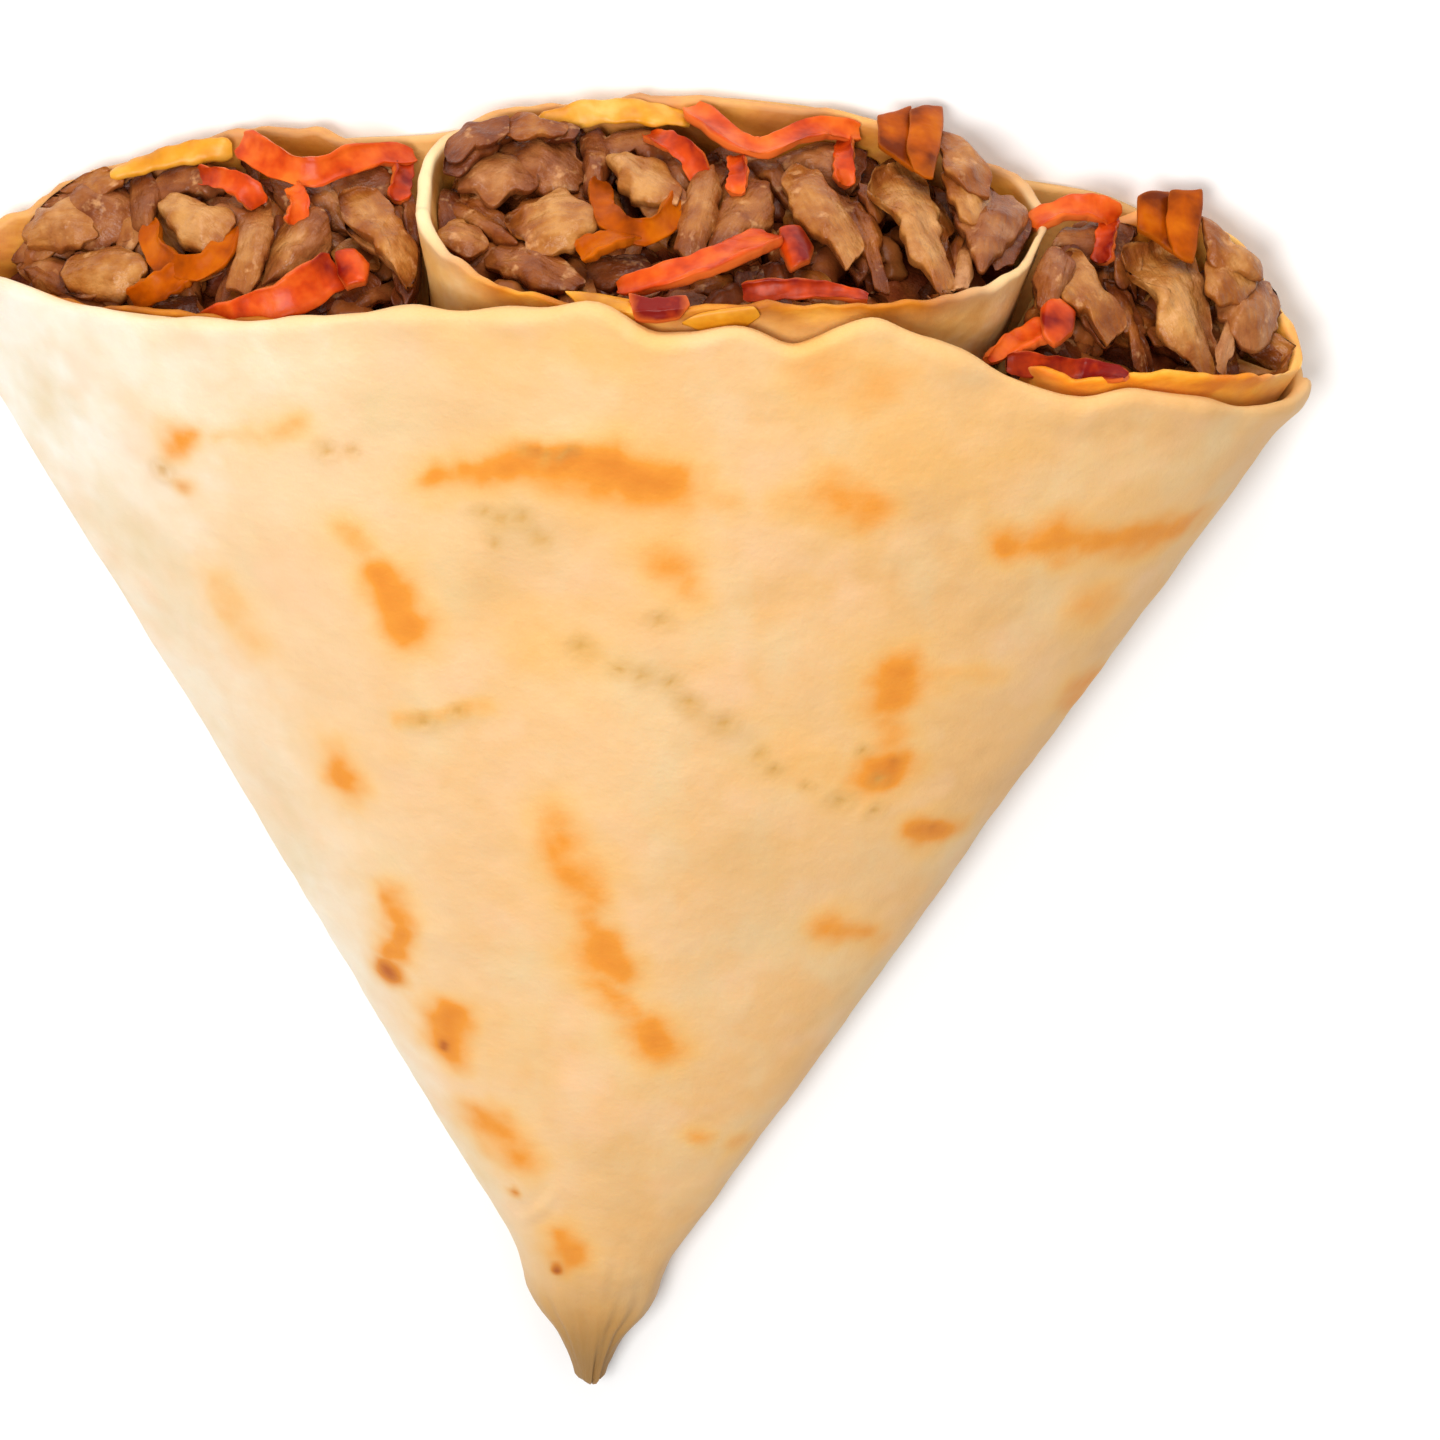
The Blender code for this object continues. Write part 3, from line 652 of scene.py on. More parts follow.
# %% [markdown]
# ## The large crepe
#
# On the real one the dough is thin, matt and softly puffed, with a scalloped front lip. It could be a
# sculpt, but its form follows a rule, so rings are lofted by that rule. The lips sag a little between the
# rolls, and the tip is squeezed to a short neck. The unevenness is added along the normals: slow waves,
# small puffs, pits along rows of burst bubbles, a lip that curls out at each scallop, creases that run to
# the tip and one small fold above it.

# %% Rings of the large crepe
SHOWN_SIDES = 330
HIDDEN_SIDES = 110
CREPE_SIDES = SHOWN_SIDES + HIDDEN_SIDES
RING_TURNS = np.concatenate([np.linspace(0.0, math.pi, SHOWN_SIDES, endpoint=False),
                             np.linspace(math.pi, 2.0 * math.pi, HIDDEN_SIDES, endpoint=False)])
SKIN_RINGS = 196
RING_CROWDING = 0.9
RIM_STEPS = 6
CAP_SIZES = (0.35, 0.66, 0.88)
INNER_SHARES = (1.0, 0.99, 0.98, 0.96, 0.94, 0.91, 0.87, 0.8, 0.7, 0.5, 0.3, 0.16)
EDGE_CREEP = 0.85
FRONT_SAG = [(-29.6, 1.0), (-20.0, 1.5), (-8.0, 1.7), (-2.0, 2.4), (2.0, 3.4), (7.0, 2.8), (12.0, 0.8),
             (15.5, -0.6), (20.0, 1.0), (24.0, 1.9), (27.5, 1.6), (29.6, 0.4)]
BACK_SAG = [(-29.6, 1.0), (-24.0, 2.0), (-17.0, 2.8), (-9.4, 3.6), (-6.8, 3.0), (-5.0, 1.8), (-3.3, 0.9),
            (-0.6, 0.2), (5.0, 0.0), (12.0, 0.3), (16.0, 1.8), (20.0, 1.2), (24.0, 0.0), (29.6, 0.0)]
TIP_NECK = [(0.0, 0.76), (3.0, 0.7), (6.0, 0.71), (8.5, 0.76), (11.5, 0.87), (15.0, 0.91), (18.5, 0.86),
            (23.0, 0.84), (30.0, 0.9), (40.0, 0.96), (55.0, 1.0)]


def lip_mix(turn):
    """How far a point on a ring belongs to the front lip (1) or the back lip (0)."""
    t = np.clip(np.sin(turn) / 0.6 + 0.5, 0.0, 1.0)
    return t * t * (3.0 - 2.0 * t)


def crepe_ring(share, inset, extra=0.0):
    """One ring round the large crepe; also returns each point's fan angle and distance from the tip."""
    turn = RING_TURNS
    across = signed_power(np.cos(turn), EDGE_CREEP)
    angle = HALF_DEGREES * across
    mix = lip_mix(turn)
    front = curve_value(FRONT_LIP, angle) - curve_value(FRONT_SAG, angle)
    back = curve_value(BACK_LIP, angle) - curve_value(BACK_SAG, angle)
    reach = (front * mix + back * (1.0 - mix) + extra) * share
    across = across * (1.0 - inset / half_width(reach))
    low, high = layer_heights(across, reach, inset)
    height = np.where(np.sin(turn) > 1e-6, high, np.where(np.sin(turn) < -1e-6, low, (low + high) / 2.0))
    ring = fan_point(across, reach, height)
    ring[:, 0] *= curve_value(TIP_NECK, reach)
    return ring, angle, reach


def crepe_surface():
    """All rings of the crepe, from the tip's cap over the lip and down inside, with their panel places."""
    tip, tip_angle, _ = crepe_ring(0.0, 0.0)
    middle = tip.mean(axis=0)
    rows = []
    for size in CAP_SIZES:
        push = np.array([0.0, -TIP_CAP * math.sqrt(1.0 - size**2), 0.0])
        rows.append((middle + (tip - middle) * size + push, tip_angle, np.zeros(CREPE_SIDES), 0.0))
    for k in range(SKIN_RINGS + 1):
        rows.append((*crepe_ring((k / SKIN_RINGS) ** RING_CROWDING, 0.0), 0.0))
    for k in range(1, RIM_STEPS):
        bend = math.pi * k / RIM_STEPS
        inset = CREPE_THICKNESS / 2.0 * (1.0 - math.cos(bend))
        rise = CREPE_THICKNESS / 2.0 * math.sin(bend) * 0.8
        rows.append((*crepe_ring(1.0, inset, extra=rise), k / RIM_STEPS))
    for share in INNER_SHARES:
        rows.append((*crepe_ring(share, CREPE_THICKNESS), 1.0))
    return rows, middle


crepe_rows, tip_middle = crepe_surface()
crepe_points, crepe_faces = lofted([row[0] for row in crepe_rows], tip_middle + (0.0, -TIP_CAP, 0.0),
                                   crepe_rows[-1][0].mean(axis=0))
crepe_angle = np.concatenate([row[1] for row in crepe_rows] + [[0.0, 0.0]])
crepe_reach = np.concatenate([row[2] for row in crepe_rows] + [[0.0, 30.0]])
crepe_inner = np.concatenate([np.full(CREPE_SIDES, row[3]) for row in crepe_rows] + [[0.0, 1.0]])
crepe_turn = np.concatenate([RING_TURNS for _ in crepe_rows] + [[math.pi / 2.0, math.pi / 2.0]])
on_front = (np.sin(crepe_turn) > -0.05) & (crepe_inner < 0.99)
print("the large crepe has", len(crepe_points), "points")

# %% Toast as numbers on the points
MARK_WIDTH = 1.2
HALO_WIDTH = 2.6
HALO_SHARE = 0.36
BACK_MARKS = 34

crepe_places = panel_place(crepe_angle, crepe_reach)
wobble = np.stack([lattice_noise(crepe_points, 6.0, 3), lattice_noise(crepe_points, 6.0, 4)], axis=1) * 1.5
wobble += np.stack([lattice_noise(crepe_points, 2.2, 5), lattice_noise(crepe_points, 2.2, 6)], axis=1) * 0.7
mark_places = crepe_places + wobble
dot_places = crepe_places + wobble * 0.4
toast_rng = random.Random(5)
toast = np.zeros(len(crepe_points))
halo = np.zeros(len(crepe_points))
for half, strength, path in TOAST_STROKES:
    toast = np.maximum(toast, strength * stroke_value(mark_places, path, half * MARK_WIDTH, toast_rng))
    halo = np.maximum(halo, strength * stroke_value(mark_places, path, half * HALO_WIDTH, toast_rng))
toast = toast + HALO_SHARE * halo
smudge = np.zeros(len(crepe_points))
for half, strength, path in SMUDGES:
    smudge = np.maximum(smudge, strength * stroke_value(mark_places, path, half, toast_rng))
smudge = np.where(on_front, smudge, 0.0)
char = np.zeros(len(crepe_points))
for radius, strength, place in CHAR_DOTS:
    spot = panel_place(*place)
    char = np.maximum(char, strength * blob_value(dot_places, spot, radius))
    toast = np.maximum(toast, min(0.95, strength + 0.35) * blob_value(dot_places, spot, radius * 1.7))
toast = np.where(on_front, toast, 0.0)
char = np.where(on_front, char, 0.0)
print(len(TOAST_STROKES), "toast strokes,", len(CHAR_DOTS), "dark dots and", len(SMUDGES), "smudges")

# %% Marks of the hidden back
back_toast = np.zeros(len(crepe_points))
for _ in range(BACK_MARKS):
    reach = 190.0 * math.sqrt(toast_rng.random())
    angle = toast_rng.uniform(-27.0, 27.0)
    slide = toast_rng.uniform(2.0, 11.0)
    path = [(angle, reach), (angle + toast_rng.uniform(-3.0, 3.0), max(reach - slide, 4.0))]
    mark = stroke_value(mark_places, path, toast_rng.uniform(2.0, 4.5), toast_rng)
    back_toast = np.maximum(back_toast, toast_rng.uniform(0.3, 0.7) * mark)
toast = np.where(on_front | (crepe_inner > 0.5), toast, back_toast)
print(BACK_MARKS, "marks on the hidden back")

# %% Pits where bubbles burst
pit_rng = random.Random(11)
pit_places = []
for spacing, path in PINHOLE_ROWS:
    corners = [panel_place(angle, reach) for angle, reach in path]
    for start, end in zip(corners, corners[1:]):
        steps = max(1, round(float(np.linalg.norm(end - start)) / spacing))
        for k in range(steps):
            spot = start + (end - start) * (k / steps)
            spot = spot + (pit_rng.uniform(-0.5, 0.5), pit_rng.uniform(-0.5, 0.5))
            pit_places.append((spot, pit_rng.uniform(0.6, 1.15)))
pits = np.zeros(len(crepe_points))
pit_rims = np.zeros(len(crepe_points))
shaken_places = crepe_places + wobble * 0.35
for spot, radius in pit_places:
    gap = np.linalg.norm(shaken_places - spot, axis=1)
    pits = np.maximum(pits, np.exp(-(gap / radius) ** 2))
    pit_rims = np.maximum(pit_rims, np.exp(-((gap - 1.5 * radius) / (0.8 * radius)) ** 2))
pits = np.where(on_front, pits, 0.0)
pit_rims = np.where(on_front, pit_rims, 0.0)
print(len(pit_places), "burst bubbles in rows")

# %% Waves, puffs and creases of the dough, in millimetres
CREASE_REACH = 26.0

crepe_frame = to_frame(crepe_points)
crepe_normals = point_normals(crepe_frame, crepe_faces)
waves = 0.55 * lattice_noise(crepe_points, 34.0, 21) + 0.32 * lattice_noise(crepe_points, 13.0, 22)
puffs = 0.13 * lattice_noise(crepe_points, 5.0, 23) + 0.07 * lattice_noise(crepe_points, 2.2, 24)
lip_angles = np.linspace(-HALF_DEGREES, HALF_DEGREES, 400)
lip_gap = np.interp(crepe_angle, lip_angles, curve_value(FRONT_LIP, lip_angles)) - crepe_reach
curl = 0.9 * np.exp(-(np.maximum(lip_gap, 0.0) / 3.5) ** 2)
curl = curl * (0.4 + lattice_noise(crepe_points * (1.0, 1.0, 0.0), 7.0, 25))
curl = np.where(on_front, curl, 0.0)
crease_places = np.stack([crepe_angle / 4.0, crepe_reach / 11.0, np.zeros(len(crepe_reach))], axis=1)
creases = 0.34 * np.exp(-(crepe_reach / CREASE_REACH) ** 2) * lattice_noise(crease_places, 1.0, 27)
print("the deepest crease of the tip is", round(-creases.min(), 2), "mm")

# %% The fold line above the tip
FOLD_LINE = [(-24.0, 29.0), (-18.0, 30.5), (-12.0, 33.0), (-7.5, 36.5)]
FOLD_MIDDLE = -16.0
FOLD_SPREAD = 6.0

fold_corners = [panel_place(angle, reach) for angle, reach in FOLD_LINE]
fold_gap = np.full(len(crepe_points), 99.0)
for start, end in zip(fold_corners, fold_corners[1:]):
    fold_gap = np.minimum(fold_gap, segment_gap(crepe_places, start, end))
fold = 0.36 * np.exp(-(fold_gap / 0.8) ** 2) - 0.26 * np.exp(-((fold_gap - 1.6) / 0.8) ** 2)
fold = np.where(on_front, fold * np.exp(-((crepe_angle - FOLD_MIDDLE) / FOLD_SPREAD) ** 2), 0.0)
print("the fold line stands up", round(fold.max(), 2), "mm")

# %% Relief of the dough
FLAP_EDGE = 7.0

relief = waves + puffs + curl + creases + fold + 0.16 * toast - 0.2 * pits + 0.08 * pit_rims
underneath = (np.sin(crepe_turn) < -0.05) & (crepe_inner < 0.5)
flap = 1.0 / (1.0 + np.exp(-(crepe_angle - FLAP_EDGE - 0.4 * lattice_noise(crepe_points, 9.0, 26)) / 0.18))
relief = np.where(underneath, -0.45 + 0.35 * waves + 0.6 * puffs - 0.65 * flap, relief)
relief = np.where(crepe_inner > 0.5, 0.3 * puffs, relief)
crepe_frame = crepe_frame + crepe_normals * (relief * MM)[:, None]
crepe_frame[:, 2] = np.maximum(crepe_frame[:, 2], FAN_Z)
print("the relief of the dough runs from", round(relief.min(), 2), "to", round(relief.max(), 2), "mm")

# %% [markdown]
# ## Finish of the dough
#
# The panel is cream, brighter at the left and warmer towards the right side and the tip, and mottled with
# rosy and straw patches; the paler left is partly the dough's own colour and partly painted light from the
# upper left. Toast runs from peach to orange, and a few dots are brown. The tip is pinched and painted a
# little darker as painted shade. The dough is matt with a faint grain, and a little light passes through it.

# %% Dough material
crepe_finish = new_material("crepe_dough")
tree = crepe_finish.node_tree
drift = centred(tree, noise(tree, 34.0, 2.0), 0.34)
fine = centred(tree, noise(tree, 170.0, 4.0), 0.26)
# The warmth attribute drives the dough ramp: partly the dough's own colour, partly painted light and shade.
warmth = maths(tree, "ADD", read_attribute(tree, "warmth"), maths(tree, "ADD", drift, fine), clamp=True)
dough = tones(tree, warmth, (0.02, 246, 238, 222), (0.2, 243, 225, 198), (0.42, 240, 205, 160),
              (0.6, 234, 192, 140), (0.8, 233, 182, 118), (1.0, 208, 156, 94))
rosy = mask(tree, noise(tree, 74.0, 2.0), (0.5, 0.0), (0.72, 0.55))
dough = blend(tree, rosy, dough, light(243, 200, 158))
straw = mask(tree, noise(tree, 58.0, 3.0, (1.3, 0.8, 1.0)), (0.48, 0.0), (0.74, 0.7))
dough = blend(tree, straw, dough, light(228, 202, 154))
dough = blend(tree, read_attribute(tree, "smudge"), dough, light(206, 166, 104))
grainy = centred(tree, noise(tree, 380.0, 4.0), 0.15)
toasted = maths(tree, "ADD", read_attribute(tree, "toast"), grainy, clamp=True)
toast_share = mask(tree, toasted, (0.05, 0.0), (0.3, 0.44), (0.64, 1.0))
toast_tone = tones(tree, toasted, (0.0, 243, 204, 146), (0.3, 241, 185, 102), (0.62, 236, 151, 48),
                   (1.0, 214, 118, 22))
coloured = blend(tree, toast_share, dough, toast_tone)
pit_share = maths(tree, "MULTIPLY", read_attribute(tree, "pits"), 0.85, clamp=True)
coloured = blend(tree, pit_share, coloured, light(206, 154, 74))
coloured = blend(tree, read_attribute(tree, "char"), coloured, light(158, 66, 14))
# Painted shade: the pinched tip is painted a darker brown.
coloured = blend(tree, read_attribute(tree, "pinched"), coloured, light(148, 110, 60))
coloured = blend(tree, read_attribute(tree, "inner"), coloured, light(206, 152, 80))
coarse_bump = maths(tree, "MULTIPLY", noise(tree, 300.0, 3.0), 1.5)
dough_bump = maths(tree, "ADD", noise(tree, 900.0, 4.0), coarse_bump)
finish_material(crepe_finish, coloured, 0.62, dough_bump, 0.1, soft=0.12, soft_mm=1.6, gloss=0.35)
print("the dough's finish has", len(tree.nodes), "nodes")

# %% Make the large crepe
# Warmth of the panel, partly the dough's own colour and partly painted light: it rises from the left side to
# the right, so the left reads as lit from the upper left. The lip at the upper left is painted paler still,
# and the term near the tip adds painted shade there.
crepe_warmth_and_light = np.interp(crepe_angle, [-30, -25, -20, -15, -10, 0, 10, 20, 30],
                         [0.16, 0.3, 0.47, 0.6, 0.68, 0.72, 0.75, 0.76, 0.8])
orange_lip = np.exp(-(lip_gap / 26.0) ** 2) * np.clip((crepe_angle + 13.0) / 8.0, 0.0, 1.0)
lit_pale_lip = np.clip((crepe_reach - 148.0) / 24.0, 0.0, 1.0) * np.clip(-crepe_angle / 15.0, 0.0, 1.0)
crepe_warmth_and_light = crepe_warmth_and_light - 0.24 * lit_pale_lip + 0.03 * orange_lip + 0.3 * np.exp(-(crepe_reach / 24.0) ** 2)
outer_crepe = make_piece("outer_crepe_dough", crepe_frame, crepe_faces, crepe_finish, {
    "toast": toast, "char": char, "smudge": smudge, "pits": np.maximum(pits, 0.35 * pit_rims),
    "inner": crepe_inner, "warmth": crepe_warmth_and_light, "pinched": 0.9 * np.exp(-(crepe_reach / 16.0) ** 2)})
dress(outer_crepe, "crepe", "outer_crepe")
print("the large crepe has", len(outer_crepe.data.polygons), "faces")

# %% [markdown]
# ## The rolled crepes
#
# Each pocket is lined by a thinner crepe. Its cut lip is a little ragged: pale at the sides, baked golden
# in front and behind, and the baking fades a few millimetres below the lip. The front of the right roll, and
# a little of the middle one's, is painted a lighter gold as painted light, where that band lies in shade
# below the outer crepe's lip. Inside it is stained golden orange by meat juice and cheese. The same loft
# makes it, with rings packed close near the lip, where it shows, and few deep inside. The outer rolls' lips
# tuck in behind the middle one, and each lip stands a little higher or lower in front and behind, as seen.

# %% Lining material
lining_finish = new_material("lining_dough")
tree = lining_finish.node_tree
blotch = noise(tree, 110.0, 4.0)
stain = tones(tree, blotch, (0.3, 150, 84, 26), (0.5, 186, 118, 44), (0.72, 216, 160, 84))
outside = tones(tree, blotch, (0.32, 218, 158, 78), (0.5, 234, 186, 112), (0.68, 240, 208, 154))
lined = blend(tree, read_attribute(tree, "inner"), outside, stain)
streak = noise(tree, 90.0, 4.0, (1.0, 2.6, 1.0))
baked = tones(tree, streak, (0.34, 150, 78, 4), (0.52, 186, 108, 12), (0.7, 216, 148, 42))
# Painted light: a lighter gold that replaces the baked tone on the shaded front band of the right roll.
golden = tones(tree, streak, (0.36, 232, 128, 14), (0.5, 250, 160, 30), (0.66, 252, 190, 72))
baked = blend(tree, read_attribute(tree, "golden"), baked, golden)
lip_tone = blend(tree, read_attribute(tree, "baked"), light(240, 210, 160), baked)
lined = blend(tree, maths(tree, "MULTIPLY", read_attribute(tree, "baked"), 0.9), lined, baked)
lined = blend(tree, read_attribute(tree, "edge"), lined, lip_tone)
lining_bump = maths(tree, "ADD", noise(tree, 600.0, 4.0), noise(tree, 220.0, 3.0))
finish_material(lining_finish, lined, 0.5, lining_bump, 0.12, soft=0.15, soft_mm=1.5, gloss=0.25)
print("the lining's finish has", len(tree.nodes), "nodes")

# %% Make the rolls
ROLL_SIDES = 300
ROLL_START = 34.0
LIP_THICKNESS = 1.4
TUCK_DEPTH = 11.0
TUCK_SIDE = {"left": 1.0, "middle": 0.0, "right": -1.0}
TUCK_START = {"left": 0.5, "middle": 0.5, "right": 0.78}
TUCK_END = 0.9
SIDE_BAKE = {"left": 0.0, "middle": 0.34, "right": 0.75}
BAKED_DEPTH = {"left": 2.8, "middle": 3.1, "right": 6.5}
# Share of painted light per roll: how much of the lighter gold covers its baked front.
GOLD_PAINTED_LIGHT = {"left": 0.0, "middle": 0.1, "right": 0.75}
LIP_RISE = {"left": (-0.9, -1.6), "middle": (-0.9, 0.0), "right": (1.2, 0.0)}
ROLL_DEPTHS = [150.0, 110.0, 70.0, 45.0, 32.0, 24.0, 18.0, 14.0, 11.0, 8.5, 6.5, 5.0, 3.8, 2.8, 1.9, 1.1, 0.5]


def roll_piece(pocket, seed):
    """One rolled crepe with a ragged, wavy lip."""
    turn = 2.0 * math.pi * np.arange(ROLL_SIDES) / ROLL_SIDES
    lip = pocket_lip(pocket, turn)
    spot = pocket_point(pocket, turn, lip, 0.0)
    ragged = 0.6 * lattice_noise(spot, 6.0, seed) + 0.6 * lattice_noise(spot, 2.4, seed + 1)
    side, rise = roll_section(turn)
    start = TUCK_START[pocket]
    tuck = np.clip((side * TUCK_SIDE[pocket] - start) / (TUCK_END - start), 0.0, 1.0)
    tuck = tuck * np.clip((rise + 0.75) / 0.6, 0.0, 1.0)
    front = np.clip(1.7 * np.sin(turn) - 0.35, 0.0, 1.0)
    back = np.clip(-1.7 * np.sin(turn) - 0.35, 0.0, 1.0)
    lip = lip + ragged - 0.5 - TUCK_DEPTH * tuck * tuck * (3.0 - 2.0 * tuck)
    lip = lip + LIP_RISE[pocket][0] * front + LIP_RISE[pocket][1] * back
    baked = np.maximum(front, 0.75 * back)
    baked = np.maximum(baked, SIDE_BAKE[pocket] * np.clip((side - 0.5) / 0.3, 0.0, 1.0))
    shown_edge = 1.0 - np.clip(3.0 * tuck, 0.0, 1.0)
    rings = []
    inner = []
    edge = []
    crust = []
    for depth in ROLL_DEPTHS:
        rings.append(pocket_point(pocket, turn, np.maximum(lip - depth, ROLL_START), 0.0))
        inner.append(0.0)
        edge.append(math.exp(-depth / 1.2) * 0.8)
        crust.append(0.2 + 0.8 * math.exp(-(depth / BAKED_DEPTH[pocket]) ** 2))
    for k in range(RIM_STEPS + 1):
        bend = math.pi * k / RIM_STEPS
        inset = LIP_THICKNESS / 2.0 * (1.0 - math.cos(bend))
        rings.append(pocket_point(pocket, turn, lip + LIP_THICKNESS * 0.35 * math.sin(bend), inset))
        inner.append(0.5)
        edge.append(1.0)
        crust.append(1.0)
    for depth in reversed(ROLL_DEPTHS[2:]):
        inset = LINING_THICKNESS + (LIP_THICKNESS - LINING_THICKNESS) * math.exp(-depth / 3.0)
        rings.append(pocket_point(pocket, turn, lip - depth, inset))
        inner.append(1.0)
        edge.append(math.exp(-depth / 0.5) * 0.6)
        crust.append(1.0)
    points, faces = lofted(rings, rings[0].mean(axis=0), rings[-1].mean(axis=0))
    inner = np.concatenate([np.repeat(inner, ROLL_SIDES), [0.0, 1.0]])
    edge = np.concatenate([np.repeat(edge, ROLL_SIDES) * np.tile(shown_edge, len(rings)), [0.0, 0.0]])
    placed = to_frame(points)
    normals = point_normals(placed, faces)
    relief = 0.3 * lattice_noise(points, 9.0, seed + 2) + 0.12 * lattice_noise(points, 3.0, seed + 3)
    placed = placed + normals * (relief * MM)[:, None]
    baked = np.concatenate([np.tile(baked, len(rings)) * np.repeat(crust, ROLL_SIDES), [0.0, 0.0]])
    # The share of painted light, the same over the whole roll.
    golden = np.full(len(baked), GOLD_PAINTED_LIGHT[pocket])
    return make_piece(pocket + "_roll_dough", placed, faces, lining_finish,
                      {"inner": inner, "edge": edge, "baked": baked, "golden": golden})


for number, pocket in enumerate(POCKETS):
    roll = roll_piece(pocket, 60 + 10 * number)
    dress(roll, "lining", pocket + "_roll")
    print(roll.name, "has", len(roll.data.polygons), "faces")

# %% [markdown]
# ## The imported filling
#
# Behind the pieces that show, each pocket is packed with the same meat. A core with a craggy face stands for
# it; its brown is darker than the pieces', partly the meat's own colour and partly painted shade, so that the
# gaps between the pieces look deep and moist.

# %% Core material
core_finish = new_material("packed_meat")
tree = core_finish.node_tree
# Partly the meat's own brown and partly painted shade, darker than the pieces in front.
core_tone_and_shade = tones(tree, noise(tree, 260.0, 5.0), (0.3, 98, 36, 16), (0.5, 130, 60, 26), (0.68, 156, 82, 36),
                  (0.82, 172, 98, 50))
coarse_bump = maths(tree, "MULTIPLY", noise(tree, 180.0, 3.0), 2.0)
core_bump = maths(tree, "ADD", noise(tree, 500.0, 4.0), coarse_bump)
finish_material(core_finish, core_tone_and_shade, 0.45, core_bump, 0.5, gloss=0.15)
print("the core's finish has", len(tree.nodes), "nodes")

# %% Make the cores
CORE_SIDES = 200
CORE_START = 42.0
CORE_SHARES = (0.33, 0.6, 0.86, 0.95, 1.0)
CORE_RINGS = 44
CORE_CLEAR = 0.25
CORE_RECESS = 8.5


def core_piece(pocket, seed):
    """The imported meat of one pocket, with a craggy face."""
    turn = 2.0 * math.pi * np.arange(CORE_SIDES) / CORE_SIDES
    inset = LINING_THICKNESS + CORE_CLEAR
    rings = [pocket_point(pocket, turn, np.full(CORE_SIDES, CORE_START), inset)]
    for share in CORE_SHARES:
        rings.append(pocket_point(pocket, turn, (pocket_lip(pocket, turn) - CORE_RECESS) * share, inset))
    for k in range(1, CORE_RINGS):
        shrink = 1.0 - k / CORE_RINGS
        ring = pocket_point(pocket, turn, pocket_lip(pocket, turn, shrink) - CORE_RECESS, inset, shrink)
        depth = 1.7 * lattice_noise(ring, 4.5, seed) + 0.9 * lattice_noise(ring, 2.0, seed + 1)
        ring[:, 1] += depth * min(1.0, k / 4.0)
        rings.append(ring)
    points, faces = lofted(rings, rings[0].mean(axis=0), rings[-1].mean(axis=0))
    return make_piece(pocket + "_packed_meat", to_frame(points), faces, core_finish)


for number, pocket in enumerate(POCKETS):
    core = core_piece(pocket, 90 + 10 * number)
    dress(core, "meat", pocket + "_filling")
    print(core.name, "has", len(core.data.polygons), "faces")

# %% [markdown]
# ## A maker for cut strips
#
# Shreds of meat, pepper and cheese are strips that follow a path, so one Geometry Nodes tree sweeps them. A
# guide is a chain of edges whose points carry a width, a depth, a facing direction, a tone and a seed. The
# width runs from a start to an end width, and the facing twists a little on the way. The tree sweeps a
# round profile along the guide, squares the section, rounds the ends, and adds lumps and long fibres from
# noise.

# %% Build the tree
STRIP_RINGS = 46
STRIP_SIDES = 26
END_POWER = 22.0
END_SIZE = 0.62


def named(tree, label, kind="FLOAT"):
    """Read a point attribute inside Geometry Nodes."""
    return add_node(tree, "GeometryNodeInputNamedAttribute", {"Name": label}, data_type=kind).outputs[0]


def store(tree, geometry, label, value, kind="FLOAT"):
    """Store a point attribute inside Geometry Nodes."""
    wanted = {"Geometry": geometry, "Name": label, "Value": value}
    return add_node(tree, "GeometryNodeStoreNamedAttribute", wanted, data_type=kind).outputs[0]


def vector_maths(tree, operation, first, second=None, scale=None):
    """One sum on vectors."""
    inputs = {0: first, 1: second, "Scale": scale}
    wanted = {label: value for label, value in inputs.items() if value is not None}
    return add_node(tree, "ShaderNodeVectorMath", wanted, operation=operation).outputs[0]


